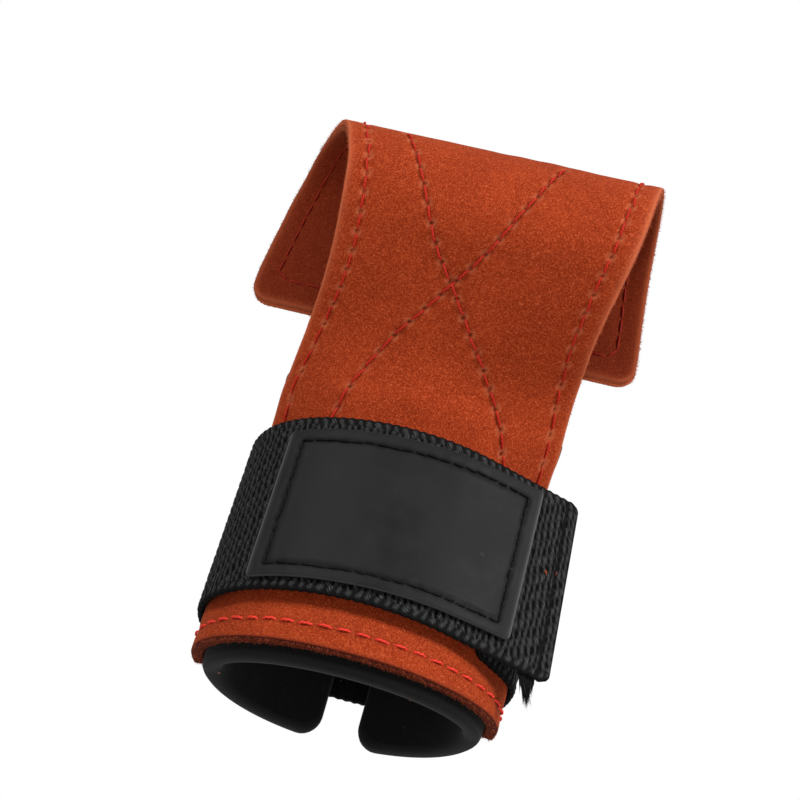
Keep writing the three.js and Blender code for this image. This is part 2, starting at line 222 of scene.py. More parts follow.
def press(arc, height, release=PRESS_HEIGHT_FADE):
    """How far the closed strap presses the layers under its tapes inwards."""
    edge = STRAP_WIDTH / 2 + STRAP_PRESS_MARGIN
    return PRESS * (1 - beside_press(arc)) * (1 - smooth(np.abs(height), edge, edge + release))


def hem_rise(arc, height):
    below = 1 - smooth(height, LEATHER_BOTTOM, -STRAP_WIDTH / 2)
    return HEM_RISE * below * np.minimum(np.abs(arc) / HEM_RISE_ARC, 1) ** 2


def corner_trim(distance, radius):
    inside = np.clip(radius - distance, 0, radius)
    return radius - np.sqrt(radius * radius - inside * inside)


level_share = math.cos(CURL_TILT)
curl_axis = np.array([math.cos(CURL_YAW) * level_share, math.sin(CURL_YAW) * level_share, math.sin(CURL_TILT)])
crease_y = -WRIST_PALM_DEPTH - CREASE_RADIUS
to_curl = (CURL_Y - crease_y, CURL_Z - CREASE_Z)
curl_distance = math.hypot(*to_curl)
LEAN = math.asin((CREASE_RADIUS + CURL_RADIUS) / curl_distance) - math.atan2(*to_curl)
RUN_FROM = CREASE_Z + CREASE_RADIUS * LEAN
CURL_FROM = RUN_FROM + math.sqrt(curl_distance**2 - (CREASE_RADIUS + CURL_RADIUS) ** 2)
CURL_TO = CURL_FROM + CURL_RADIUS * (math.pi + LEAN)
LEATHER_END = CURL_TO + FREE_LEG_LENGTH


def middle_line(along):
    """Side view of the leather: y, z and heading from upright, up the wrist, over the crease and round the curl."""
    heading = -np.clip(along - CREASE_Z, 0, RUN_FROM - CREASE_Z) / CREASE_RADIUS
    run = np.clip(along - RUN_FROM, 0, None)
    y = crease_y + CREASE_RADIUS * np.cos(heading) + run * np.sin(heading)
    z = CREASE_Z - CREASE_RADIUS * np.sin(heading) + run * np.cos(heading) + np.minimum(along - CREASE_Z, 0)
    curled = np.clip(along - CURL_FROM, 0, CURL_TO - CURL_FROM) / CURL_RADIUS - LEAN
    leg = np.maximum(along - CURL_TO, 0)
    on_curl = along > CURL_FROM
    y = np.where(on_curl, CURL_Y - CURL_RADIUS * np.cos(curled) + leg * np.sin(curled), y)
    z = np.where(on_curl, CURL_Z + CURL_RADIUS * np.sin(curled) + leg * np.cos(curled), z)
    return y, z, np.where(on_curl, curled, heading)


def unit(vectors):
    return vectors / np.linalg.norm(vectors, axis=-1, keepdims=True)


def leather_face(along, across):
    """Outer face of the leather before the strap presses it."""
    along, across = np.broadcast_arrays(np.asarray(along, float), np.asarray(across, float))
    y, z, heading = middle_line(along)
    flat = smooth(along, FLATTEN_FROM, FLATTEN_TO)[..., None]
    point = section(across)[0]
    sideways = unit((1 - flat) * np.array([1.0, 0, 0]) + flat * curl_axis)
    tangent = np.stack([np.zeros_like(y), np.sin(heading), np.cos(heading)], -1)
    inward = unit(np.cross(tangent, sideways))
    shift = SHEET_SHIFT_WRIST + (SHEET_SHIFT_CURL - SHEET_SHIFT_WRIST) * flat[..., 0]
    slack = (CURL_SLACK + CURL_SLACK_SLOPE * across) * np.maximum(np.sin(heading), 0) ** 2
    reach = (1 - flat[..., 0]) * point[..., 0] + flat[..., 0] * across
    depth = (1 - flat[..., 0]) * (WRIST_PALM_DEPTH + point[..., 1]) - slack
    return np.stack([shift, y, z], -1) + sideways * reach[..., None] + inward * depth[..., None]


def leather_point(along, across, depth):
    """Point of the leather at a depth under its outer face; a negative depth is above it."""
    up = leather_face(along + HEADING_STEP, across) - leather_face(along - HEADING_STEP, across)
    right = leather_face(along, across + HEADING_STEP) - leather_face(along, across - HEADING_STEP)
    inward = unit(np.cross(up, right))
    return leather_face(along, across) + inward * (depth + press(across, along))[..., None]


def half_width(along, column):
    """Half-width of the sheet on the left, column 1, or the right, column 2, with the table's corners softened."""
    reached = [(along + shift - LEATHER_BOTTOM) / (LEATHER_END - LEATHER_BOTTOM) for shift in OUTLINE_SOFTENING]
    shares = [np.interp(share, LEATHER_OUTLINE[:, 0], LEATHER_OUTLINE[:, column]) for share in reached]
    return LEATHER_HALF_WIDTH * np.mean(shares, 0)


def end_pull(place, start, end, reach=INSET_REACH):
    """1 at a sheet's start and -1 at its end, eased to 0 between them, for drawing both ends in by an inset."""
    return (1 - smooth(place, start, start + reach)) - smooth(place, end - reach, end)


def leather_cut(along, share, inset):
    """Place on the sheet, along and across, at a share of its half-width, drawn in from its edges by an inset."""
    edge = np.minimum(along - LEATHER_BOTTOM, LEATHER_END - along)
    half = np.where(share < 0, half_width(along, 1), half_width(along, 2))
    across = share * (half - corner_trim(edge, LEATHER_CORNER) - inset)
    drawn = inset * end_pull(along, LEATHER_BOTTOM, LEATHER_END)
    slant = FREE_EDGE_SLANT * across * smooth(along, CURL_TO, LEATHER_END)
    return along + drawn - slant + hem_rise(across, along), across


def corner_rows(end, radius, inward):
    return end + inward * radius * (1 - np.cos(np.linspace(0, math.pi / 2, 8)))


def even_rows(low, high, step):
    return np.linspace(low, high, max(2, round((high - low) / step) + 1))


def rows_between(low, high, radius, step):
    """Places from one end to the other, closer where the corners are round."""
    return np.concatenate([
        corner_rows(low, radius, 1),
        even_rows(low + radius, high - radius, step)[1:-1],
        corner_rows(high, radius, -1)[::-1],
    ])


def grid_quads(rows, columns, start=0):
    first = start + np.arange(rows - 1)[:, None] * columns + np.arange(columns - 1)[None, :]
    return np.stack([first, first + 1, first + 1 + columns, first + columns], -1).reshape(-1, 4)


def across_rows(rows, columns):
    """Rows of a sheet by even shares from -1 to 1 across it."""
    return np.meshgrid(rows, np.linspace(-1, 1, columns), indexing="ij")


def rim_ids(rows, columns):
    ids = np.arange(rows * columns).reshape(rows, columns)
    return np.concatenate([ids[0, :-1], ids[:-1, -1], ids[-1, :0:-1], ids[:0:-1, 0]])


def outer_skin(grids):
    """Points of an outer face and of the rims behind it, the rings of numbers round them, and the next number."""
    rim = rim_ids(*grids[0].shape[:2])
    points = [grids[0].reshape(-1, 3)] + [grid.reshape(-1, 3)[rim] for grid in grids[1:]]
    starts = grids[0].size // 3 + len(rim) * np.arange(len(grids))
    rings = [rim] + [start + np.arange(len(rim)) for start in starts[:-1]]
    return points, rings, starts[-1]


def between_rings(rings):
    return [np.stack([np.roll(a, -1), a, b, np.roll(b, -1)], -1) for a, b in zip(rings, rings[1:])]


def closed_sheet(grids):
    """Closed skin between the first grid, its outer face, and the last, its inner face; rims round the cut edge."""
    points, rings, start = outer_skin(grids[:-1])
    rings.append(start + rings[0])
    rows, columns = grids[0].shape[:2]
    faces = [grid_quads(rows, columns), grid_quads(rows, columns, start)[:, ::-1]] + between_rings(rings)
    return np.concatenate(points + [grids[-1].reshape(-1, 3)]), np.concatenate(faces)


def make_piece(name, points, faces, material, slot=None, marks=None):
    """Mesh object in metres that rides on the part; marks are values the material reads at each point."""
    mesh = bpy.data.meshes.new(name)
    mesh.from_pydata((points * MM).tolist(), [], [list(face) for face in faces])
    for label, values in (marks or {}).items():
        values = np.asarray(values, np.float32)
        kind, field = ("FLOAT", "value") if values.ndim == 1 else ("FLOAT_VECTOR", "vector")
        mesh.attributes.new(label, kind, "POINT").data.foreach_set(field, values.ravel())
    shape = bmesh.new()
    shape.from_mesh(mesh)
    bmesh.ops.recalc_face_normals(shape, faces=shape.faces)
    for face in shape.faces:
        face.smooth = True
    shape.to_mesh(mesh)
    shape.free()
    mesh.materials.append(material)
    made = bpy.data.objects.new(name, mesh)
    scene.collection.objects.link(made)
    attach(made, "root")
    return made


def marks_for(grids, outer, rim=0.0, inner=0.0):
    """Values for each point of a closed sheet: on its outer face, round its rim and on its inner face."""
    rows, columns = grids[0].shape[:2]
    round_rim = np.broadcast_to(rim, len(rim_ids(rows, columns)))
    faces = [np.broadcast_to(value, (rows, columns)).ravel() for value in (outer, inner)]
    return np.concatenate([faces[0], np.tile(round_rim, len(grids) - 2), faces[1]])


def bell(distance, width):
    """1 on a line, easing to 0 beside it."""
    return np.exp(-((distance / width) ** 2))


def ripple(first, second, length, seed, terms=7):
    """Gentle uneven relief from -1 to 1, as a hide or cloth has, from seeded waves."""
    chance = np.random.default_rng(seed)
    total = np.zeros(np.broadcast(first, second).shape)
    for _ in range(terms):
        angle, phase = chance.uniform(0, 2 * math.pi, 2)
        turns = 2 * math.pi / (length * chance.uniform(0.7, 1.5))
        total = total + np.sin(turns * (first * math.cos(angle) + second * math.sin(angle)) + phase)
    return total / terms


def distance_to_line(along, across, line):
    """Distance from places on the sheet to a stitched line."""
    nearest = np.full(along.shape, FAR_AWAY)
    for (a0, b0), (a1, b1) in zip(line, line[1:]):
        length = math.hypot(a1 - a0, b1 - b0)
        share = np.clip(((along - a0) * (a1 - a0) + (across - b0) * (b1 - b0)) / length**2, 0, 1)
        nearest = np.minimum(nearest, np.hypot(along - a0 - share * (a1 - a0), across - b0 - share * (b1 - b0)))
    return nearest


def holes_along(line, pitch):
    """Needle holes at an even pitch along a line."""
    line = np.asarray(line, float)
    reach = np.concatenate([[0], np.cumsum(np.linalg.norm(np.diff(line, axis=0), axis=1))])
    places = np.linspace(0, reach[-1], round(reach[-1] / pitch) + 1)
    return np.stack([np.interp(places, reach, line[:, k]) for k in (0, 1)], -1)


CROSS_SEAMS = [
    [(25, 28), (32.5, 22.6), (45.9, 11.6), (59.6, 0.4), (66, -4.2), (71.5, -9), (81.2, -13.7), (108, -26)],
    [(25, -23.7), (37.2, -18.7), (51.3, -12), (65.3, -3.8), (76.2, 3.4), (93, 11.9), (108, 17)],
]
BORDER_INSET = 5.6
FREE_END_INSET = 6.2
border_rows = even_rows(27, LEATHER_END - FREE_END_INSET, 5)
left_border = [leather_cut(np.array(a), np.array(-1.0), BORDER_INSET) for a in border_rows]
right_border = [leather_cut(np.array(a), np.array(1.0), BORDER_INSET) for a in border_rows]
BORDER_SEAM = [(float(a), float(b)) for a, b in left_border + right_border[::-1]]
HEM_SEAM_RISE = 5.7
HEM_SEAM_REACH = 57
hem_arcs = even_rows(-HEM_SEAM_REACH, HEM_SEAM_REACH, 4)
hem_level = LEATHER_BOTTOM + HEM_SEAM_RISE
HEM_SEAM = [(hem_level + float(hem_rise(u, hem_level)), float(u)) for u in hem_arcs]
SEAM_PITCH = 5.2
HEM_PITCH = 4.7
seam_holes = np.concatenate([holes_along(line, SEAM_PITCH) for line in CROSS_SEAMS + [BORDER_SEAM]])


def effect(name, takes, gives):
    """Shader node group with named inputs and outputs, and the sockets of both inside it."""
    tree = bpy.data.node_groups.new(name, "ShaderNodeTree")
    for label, kind, value in takes:
        tree.interface.new_socket(name=label, in_out="INPUT", socket_type="NodeSocket" + kind).default_value = value
    for label, kind in gives:
        tree.interface.new_socket(name=label, in_out="OUTPUT", socket_type="NodeSocket" + kind)
    return tree, tree.nodes.new("NodeGroupInput").outputs, tree.nodes.new("NodeGroupOutput").inputs


def place_effect(tree, group, sockets):
    return put(tree, "Group", sockets, node_tree=group).outputs


def blend_colour(tree, share, first, second):
    return put(tree, "Mix", {0: share, 6: first, 7: second}, data_type="RGBA").outputs[2]


def band(tree, value, low, high, to_low=0.0, to_high=1.0):
    """Value eased from one range to another."""
    sockets = {"Value": value, 1: low, 2: high, 3: to_low, 4: to_high}
    return put(tree, "MapRange", sockets, interpolation_type="SMOOTHSTEP").outputs[0]


def calc(tree, how, first, second=0.0):
    return put(tree, "Math", {0: first, 1: second}, operation=how).outputs[0]


def noise(tree, place, scale, detail, **more):
    return put(tree, "TexNoise", {"Vector": place, "Scale": scale, "Detail": detail, **more}).outputs[0]


def mark(tree, name, kind="Fac"):
    return put(tree, "Attribute", attribute_name=name).outputs[kind]


nap, nap_in, nap_out = effect(
    "nap",
    [("Grain", "Float", 2000.0), ("Base", "Color", (0.5, 0.5, 0.5, 1)), ("Fibre", "Color", (1, 1, 1, 1)),
     ("Shade", "Color", (0, 0, 0, 1)), ("Fuzz", "Float", 0.5)],
    [("Colour", "Color"), ("Height", "Float"), ("Roughness", "Float")],
)
CLUMP_SHARE = 0.22
BRUSH_SHARE = 0.03
nap_place = put(nap, "TexCoord").outputs["Object"]
nap_fine = noise(nap, nap_place, nap_in["Grain"], 3.0, Roughness=0.6, Distortion=0.8)
nap_clump = noise(nap, nap_place, calc(nap, "MULTIPLY", nap_in["Grain"], CLUMP_SHARE), 3.0, Roughness=0.55)
nap_brush = noise(nap, nap_place, calc(nap, "MULTIPLY", nap_in["Grain"], BRUSH_SHARE), 4.0, Roughness=0.6)
nap_tone = nap_in["Base"]
# each layer of the nap, the range of its noise that darkens, and the least share of colour it leaves
for layer, low, high, least in (
    (nap_brush, 0.25, 0.75, 0.72), (nap_clump, 0.32, 0.6, 0.86), (nap_fine, 0.36, 0.54, 0.42),
):
    nap_tone = blend_colour(nap, band(nap, layer, low, high, least, 1.0), nap_in["Shade"], nap_tone)
nap_share = calc(nap, "MULTIPLY", band(nap, nap_fine, 0.5, 0.68), nap_in["Fuzz"])
nap.links.new(blend_colour(nap, nap_share, nap_tone, nap_in["Fibre"]), nap_out["Colour"])
nap.links.new(calc(nap, "ADD", nap_fine, calc(nap, "MULTIPLY", nap_clump, 0.6)), nap_out["Height"])
nap.links.new(band(nap, nap_clump, 0.3, 0.7, 0.98, 0.86), nap_out["Roughness"])


def suede(name, base, fibre, shade, pale, fuzz):
    """Napped split leather: clumped short fibres, paler where edges and seams are rubbed, and painted darker as shade
    in holes, seam grooves and along the lower edge.
    """
    made, tree, surface = finish_material(
        name, Sheen_Weight=0.1, Sheen_Roughness=0.4, Sheen_Tint=(1.0, 0.4, 0.2, 1), Specular_IOR_Level=0.1,
    )
    grain = place_effect(tree, nap, {"Grain": 2500.0, "Base": base, "Fibre": fibre, "Shade": shade, "Fuzz": fuzz})
    tone = blend_colour(tree, mark(tree, "rubbed"), grain["Colour"], pale)
    # painted shade: the colour is darkened towards near black in holes, seam grooves and at the lower edge
    tone = blend_colour(tree, mark(tree, "sunk"), tone, (0.05, 0.005, 0.002, 1))
    dress(tree, surface, tone, grain["Height"], 0.6, 0.00022, grain["Roughness"])
    return made


PALM_ROW_STEP = 1.2
PALM_FINE_STEP = 0.75
PALM_FINE_FROM = 24
PALM_FINE_TO = 116
palm_rows = np.concatenate([
    corner_rows(LEATHER_BOTTOM, LEATHER_CORNER, 1),
    even_rows(LEATHER_BOTTOM + LEATHER_CORNER, PALM_FINE_FROM, PALM_ROW_STEP)[1:],
    even_rows(PALM_FINE_FROM, PALM_FINE_TO, PALM_FINE_STEP)[1:],
    even_rows(PALM_FINE_TO, LEATHER_END - LEATHER_CORNER, PALM_ROW_STEP)[1:-1],
    corner_rows(LEATHER_END, LEATHER_CORNER, -1)[::-1],
])
PALM_COLUMNS = 131
CUT_ROUNDING = 0.3
PLY_MEETS = 0.1
palm_along, palm_share = across_rows(palm_rows, PALM_COLUMNS)


def leather_grid(along, share, depth, inset):
    place, across = leather_cut(along, share, inset)
    return leather_point(place, across, depth)


def ply_grids(along, share, face, thickness, relief):
    """Grids through a ply from its napped face at a depth; a negative thickness runs outwards."""
    way = math.copysign(1, thickness)
    layers = [(0, CUT_ROUNDING, relief), (way * CUT_ROUNDING * 0.8, 0.06, 0), (thickness / 2, 0, 0)]
    layers += [(thickness, 0, 0), (thickness + way * PLY_MEETS, 0.05, 0)]
    return [leather_grid(along, share, face + down - dip, inset) for down, inset, dip in layers]


HEM_SHADE_TOP = -30
RIM_RUB = 0.6


def clear_of_hem(along):
    """0 at the lower edge, where shade is painted on, easing to 1 above it."""
    return smooth(along, LEATHER_BOTTOM + 1, HEM_SHADE_TOP)


def ply_marks(grids, along, rubbed, sunk):
    """Rubbed and painted-shade shares of a ply: its rim is rubbed all round, and painted dark as shade at the lower
    edge.
    """
    clear = clear_of_hem(along.ravel()[rim_ids(*along.shape)])
    return {"rubbed": marks_for(grids, rubbed, RIM_RUB * clear, 0.1), "sunk": marks_for(grids, sunk, 1 - clear)}


SEAM_DIP, SEAM_DIP_WIDTH = 0.3, 1.3
HEM_DIP, HEM_DIP_WIDTH = 0.35, 1.6
HOLE_DIP, HOLE_DIP_WIDTH = 0.4, 0.6
HOLE_WIDTH = 0.45
HOLE_RIM = 0.9
EDGE_RUB = 0.1
EDGE_FADE, EDGE_SHADE_FADE = 0.7, 0.35
# height, length and seed of the hide's slow waves
HIDE_WAVES = [(0.22, 19, 4), (0.1, 7, 5)]
place, across = leather_cut(palm_along, palm_share, CUT_ROUNDING)
to_cross = np.minimum(*[distance_to_line(place, across, line) for line in CROSS_SEAMS])
to_border = distance_to_line(place, across, BORDER_SEAM)
to_hem = distance_to_line(place, across, HEM_SEAM)
to_hole = np.full(place.shape, FAR_AWAY)
for hole_along, hole_across in seam_holes:
    to_hole = np.minimum(to_hole, np.hypot(place - hole_along, across - hole_across))
to_edge = (1 - np.abs(palm_share)) * half_width(palm_along, 1)
to_edge = np.minimum(to_edge, np.minimum(palm_along - LEATHER_BOTTOM, LEATHER_END - palm_along))
off_strap = smooth(np.abs(place), STRAP_WIDTH / 2 - 2, STRAP_WIDTH / 2 + 4)
seam_dip = SEAM_DIP * bell(np.minimum(to_cross, to_border), SEAM_DIP_WIDTH) + HEM_DIP * bell(to_hem, HEM_DIP_WIDTH)
wave = sum(height * ripple(place, across, length, seed) for height, length, seed in HIDE_WAVES)
palm_relief = (wave - seam_dip) * off_strap - HOLE_DIP * bell(to_hole, HOLE_DIP_WIDTH)
clear = clear_of_hem(palm_along)
# rubbed: the cut edge and the raised rims of the holes; painted shade: in the holes, along the seams and at the lower
# edge where the leather meets the pad
rubbed = (EDGE_RUB + RIM_RUB * clear) * np.exp(-to_edge / EDGE_FADE) + 0.55 * bell(to_hole - HOLE_RIM, HOLE_WIDTH)
sunk = 0.9 * bell(to_hole, HOLE_WIDTH) + 0.25 * bell(to_cross, 0.8) + 0.2 * bell(to_hem, 0.9)
sunk = sunk + 0.8 * (1 - clear) * np.exp(-to_edge / EDGE_SHADE_FADE)
palm_grids = ply_grids(palm_along, palm_share, 0, PALM_PLY, palm_relief)
palm_suede = suede(
    "palm_suede", base=(0.36, 0.041, 0.008, 1), fibre=(0.6, 0.115, 0.037, 1), shade=(0.14, 0.011, 0.002, 1),
    pale=(0.56, 0.14, 0.06, 1), fuzz=0.6,
)
palm_marks = ply_marks(palm_grids, palm_along, np.clip(rubbed, 0, 1), np.clip(sunk, 0, 1))
palm_sheet = make_piece("palm_sheet", *closed_sheet(palm_grids), palm_suede, "suede", palm_marks)
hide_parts("palm_leather")


FIBRE_BEND = 0.3
FIBRE_BEND_REACH = 1.2
FIBRE_TAPER = 0.7


def fibre_mesh(bases, directions, lengths, radius, chance):
    """Short tapering fibres, each a thin bent pyramid standing on its base point."""
    amount = len(bases)
    side = unit(np.cross(directions, chance.normal(0, 1, (amount, 3))))
    other = np.cross(directions, side)
    bend = side * (np.minimum(lengths, FIBRE_BEND_REACH) * chance.normal(0, FIBRE_BEND, amount))[:, None]
    middle = bases + directions * (lengths * 0.5)[:, None] + bend
    tip = bases + directions * lengths[:, None]
    corners = []
    for place, share in ((bases, 1.0), (middle, FIBRE_TAPER)):
        for turn in (0, 2 * math.pi / 3, 4 * math.pi / 3):
            corners.append(place + radius * share * (math.cos(turn) * side + math.sin(turn) * other))
    points = np.stack(corners + [tip], 1)
    first = 7 * np.arange(amount)[:, None]
    faces = []
    for k in range(3):
        ahead = (k + 1) % 3
        faces += (first + np.array([k, ahead, ahead + 3, k + 3])).tolist()
        faces += (first + np.array([k + 3, ahead + 3, 6])).tolist()
    return points.reshape(-1, 3), faces


FUZZ_PER_MM = 7
FUZZ_LENGTH = 0.9
FUZZ_RADIUS = 0.055
FUZZ_SPREAD = 0.55
FUZZ_ROOT = 0.1
FUZZ_MARGIN = 0.2


def cut_fuzz(name, along, share, top, bottom, material, slot, seed):
    """Loose fibres all round the cut edge of a ply."""
    chance = np.random.default_rng(seed)
    rim = rim_ids(*along.shape)
    middle = (top + bottom) / 2
    lines = ((middle, 0), (middle, 0.8), (top, 0))
    edge, inside, over = (leather_grid(along, share, depth, inset).reshape(-1, 3)[rim] for depth, inset in lines)
    steps = np.linalg.norm(np.roll(edge, -1, 0) - edge, axis=1)
    picked = chance.choice(len(rim), int(steps.sum() * FUZZ_PER_MM), p=steps / steps.sum())
    amount = len(picked)
    ahead = (picked + 1) % len(rim)
    share_on = chance.uniform(0, 1, (amount, 1))
    bases = edge[picked] * (1 - share_on) + edge[ahead] * share_on
    bases = bases + (over - edge)[picked] * chance.uniform(-0.9, 1.0, (amount, 1))
    directions = unit(unit(edge - inside)[picked] + chance.normal(0, FUZZ_SPREAD, (amount, 3)))
    lengths = FUZZ_LENGTH * chance.uniform(0.25, 1.0, amount) ** 1.5
    points, faces = fibre_mesh(bases - directions * FUZZ_ROOT, directions, lengths, FUZZ_RADIUS, chance)
    paleness = np.repeat(chance.uniform(0.1, 0.9, amount), len(points) // amount)
    return make_piece(name, points, faces, material, slot, {"rubbed": paleness, "sunk": np.zeros(len(points))})


palm_fuzz = cut_fuzz("palm_fuzz", palm_along, palm_share, FUZZ_MARGIN, PALM_PLY, palm_suede, "suede", 41)

# Backing leather: a thinner ply of the same split suede behind the palm leather, cut to the same outline and sewn to
# it, nap inwards. It shows inside the curl and on the inner side of the free leg.
BACKING_DEPTH = -BACKING_OUTER
BACKING_INNER = BACKING_DEPTH + BACKING_PLY
BACKING_ROW_STEP = 1.5
BACKING_COLUMNS = 85
backing_rows = rows_between(LEATHER_BOTTOM, LEATHER_END, LEATHER_CORNER, BACKING_ROW_STEP)
backing_along, backing_share = across_rows(backing_rows, BACKING_COLUMNS)
place, across = leather_cut(backing_along, backing_share, CUT_ROUNDING)
inner_dip = SEAM_DIP * bell(distance_to_line(place, across, BORDER_SEAM), 1.4) * smooth(place, 30, 60)
backing_grids = ply_grids(backing_along, backing_share, BACKING_INNER, -BACKING_PLY, inner_dip)
to_edge = np.minimum((1 - np.abs(backing_share)) * half_width(backing_along, 1), LEATHER_END - backing_along)
rubbed = 0.5 * clear_of_hem(backing_along) * np.exp(-np.maximum(to_edge, 0) / 0.8)
# painted shade: the same suede as the palm ply, made darker to stand in for the shade inside the curl and on the free
# leg
shaded_backing_suede = suede(
    "shaded_backing_suede", base=(0.19, 0.021, 0.0045, 1), fibre=(0.31, 0.055, 0.018, 1), shade=(0.1, 0.009, 0.002, 1),
    pale=(0.42, 0.1, 0.04, 1), fuzz=0.5,
)
backing_marks = ply_marks(backing_grids, backing_along, rubbed, 0.0)
backing_sheet = make_piece("backing_sheet", *closed_sheet(backing_grids), shaded_backing_suede, "suede_backing", backing_marks)
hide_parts("backing_leather")
backing_fuzz = cut_fuzz(
    "backing_fuzz", backing_along, backing_share, BACKING_DEPTH, BACKING_INNER - FUZZ_MARGIN,
    shaded_backing_suede, "suede_backing", 42,
)

# Seams of the leather: red twisted thread. A cross and a border line join the two plies, one dash from hole to hole,
# and a heavier back-stitched line runs along the lower edge of the wrist part.
STITCH_POINTS = 11
STITCH_ROUNDING = 3.5


def stitch_paths(starts, ends, surface, lift, sink):
    """Rows of points, and normals, for stitches that rise from a hole, lie on the surface and sink in the next."""
    share = np.linspace(0, 1, STITCH_POINTS)[None, :, None]
    place = starts[:, None, :] * (1 - share) + ends[:, None, :] * share
    height = -sink + (lift + sink) * (1 - np.abs(2 * share[..., 0] - 1) ** STITCH_ROUNDING)
    height = np.broadcast_to(height, place.shape[:2])
    points = surface(place[..., 0], place[..., 1], height)
    above = surface(place[..., 0], place[..., 1], height + 0.1)
    return points, unit(above - points)


TWIST_DEPTH = 0.18


def thread_mesh(points, normals, radius, ply_turn, thin_ends=0.6, sides=8):
    """Two-ply twisted thread along each row of points, closed at its ends, and how deep a point lies in the twist."""
    rows, samples = points.shape[:2]
    tangent = unit(np.gradient(points, axis=1))
    side = unit(np.cross(tangent, normals))
    up = np.cross(side, tangent)
    lengths = np.linalg.norm(np.diff(points, axis=1), axis=-1)
    reach = np.concatenate([np.zeros((rows, 1)), np.cumsum(lengths, 1)], 1)
    angle = np.linspace(0, 2 * math.pi, sides, endpoint=False)
    ply = np.cos(2 * (angle[None, None, :] - 2 * math.pi * reach[..., None] / ply_turn))
    end_share = 1 - (1 - thin_ends) * np.abs(np.linspace(-1, 1, samples)) ** 4
    size = radius * end_share[None, :, None] * (1 - TWIST_DEPTH + TWIST_DEPTH * ply)
    ring = points[:, :, None] + size[..., None] * (
        np.cos(angle)[:, None] * side[:, :, None] + np.sin(angle)[:, None] * up[:, :, None]
    )
    ids = np.arange(rows * samples * sides).reshape(rows, samples, sides)
    ahead = np.roll(ids, -1, axis=2)
    quads = np.stack([ids[:, :-1], ids[:, 1:], ahead[:, 1:], ahead[:, :-1]], -1).reshape(-1, 4)
    caps = np.concatenate([ids[:, 0, ::-1], ids[:, -1]])
    return ring.reshape(-1, 3), quads.tolist() + caps.tolist(), ((1 - ply) / 2).ravel()


yarn, yarn_in, yarn_out = effect(
    "yarn",
    [("Base", "Color", (0.5, 0.5, 0.5, 1)), ("Deep", "Color", (0, 0, 0, 1)), ("Twist", "Float", 0.0),
     ("Fuzz size", "Float", 3500.0)],
    [("Colour", "Color"), ("Height", "Float")],
)
yarn_noise = noise(yarn, put(yarn, "TexCoord").outputs["Object"], yarn_in["Fuzz size"], 2.0)
yarn_depth = calc(yarn, "MULTIPLY", yarn_in["Twist"], 0.75)
yarn_depth = calc(yarn, "ADD", yarn_depth, calc(yarn, "MULTIPLY", yarn_noise, 0.35))
# painted shade: the thread is darker deep in the twist between its plies, mixed with random tone from the noise
yarn_tone = blend_colour(yarn, band(yarn, yarn_depth, 0.25, 1.0), yarn_in["Base"], yarn_in["Deep"])
yarn.links.new(yarn_tone, yarn_out["Colour"])
yarn.links.new(yarn_noise, yarn_out["Height"])


def thread_material(name, base, deep, gloss):
    made, tree, surface = finish_material(name, Roughness=0.6, Specular_IOR_Level=gloss)
    strands = place_effect(tree, yarn, {"Base": base, "Deep": deep, "Twist": mark(tree, "groove")})
    dress(tree, surface, strands["Colour"], strands["Height"], 0.4, 0.0001)
    return made


def sew(name, seams, surface, material, slot, seed, radius, lift, sink, wander=0.12, overlap=0.0, ply_turn=2.2):
    """One piece of thread for all the stitches between the holes of the seams."""
    chance = np.random.default_rng(seed)
    starts = np.concatenate([holes[:-1] for holes in seams])
    ends = np.concatenate([holes[1:] for holes in seams])
    slide = (ends - starts) * overlap
    starts = starts + chance.normal(0, wander, starts.shape) - slide
    ends = ends + chance.normal(0, wander, ends.shape) + slide
    points, normals = stitch_paths(starts, ends, surface, lift, sink)
    ring, faces, groove = thread_mesh(points, normals, radius, ply_turn)
    return make_piece(name, ring, faces, material, slot, {"groove": groove})


def on_palm(along, across, height):
    return leather_point(along, across, -height)


def on_backing(along, across, height):
    return leather_point(along, across, BACKING_INNER + height)


red_thread = thread_material("red_thread", (0.52, 0.022, 0.008, 1), (0.3, 0.008, 0.003, 1), 0.15)
hem_thread = thread_material("hem_thread", (0.85, 0.052, 0.028, 1), (0.55, 0.02, 0.01, 1), 0.2)
# painted shade: a darker copy of the red thread for the seam's inner side on the shaded backing
shaded_inner_thread = thread_material("shaded_red_thread", (0.33, 0.014, 0.006, 1), (0.14, 0.006, 0.003, 1), 0.15)
cross_holes = [holes_along(line, SEAM_PITCH) for line in CROSS_SEAMS]
border_holes = [holes_along(BORDER_SEAM, SEAM_PITCH)]
hem_holes = [holes_along(HEM_SEAM, HEM_PITCH)]
cross_seam = sew(
    "cross_seam", cross_holes, on_palm, red_thread, "suede", 11,
    radius=0.36, lift=0.1, sink=0.75, wander=0.2, overlap=-0.06,
)
border_seam = sew(
    "border_seam", border_holes, on_palm, red_thread, "suede", 12,
    radius=0.36, lift=0.08, sink=0.8, wander=0.2, overlap=-0.1,
)
inner_seam = sew(
    "inner_seam", border_holes, on_backing, shaded_inner_thread, "suede_backing", 13, radius=0.3, lift=-0.02, sink=0.7,
)
hem_seam = sew(
    "hem_seam", hem_holes, on_palm, hem_thread, "suede", 14,
    radius=0.38, lift=0.16, sink=0.8, wander=0.13, overlap=-0.1,
)

# Wrist pad: 5 mm neoprene foam faced with fine black knit, wrapped round the wrist hollow inside the leather, with
# its two ends 11 mm apart at the back. Its upper edge flares a little off the wrist.
PAD_THICKNESS = 5
PAD_BOTTOM = -42.3
PAD_TOP = 50
PAD_BACK_OPENING = 11
PAD_RELEASE = 22
PAD_FLARE = 3
PAD_CORNER = 6
PAD_ROW_STEP = 1.5
PAD_COLUMNS = 133
PAD_WAVE = 0.12
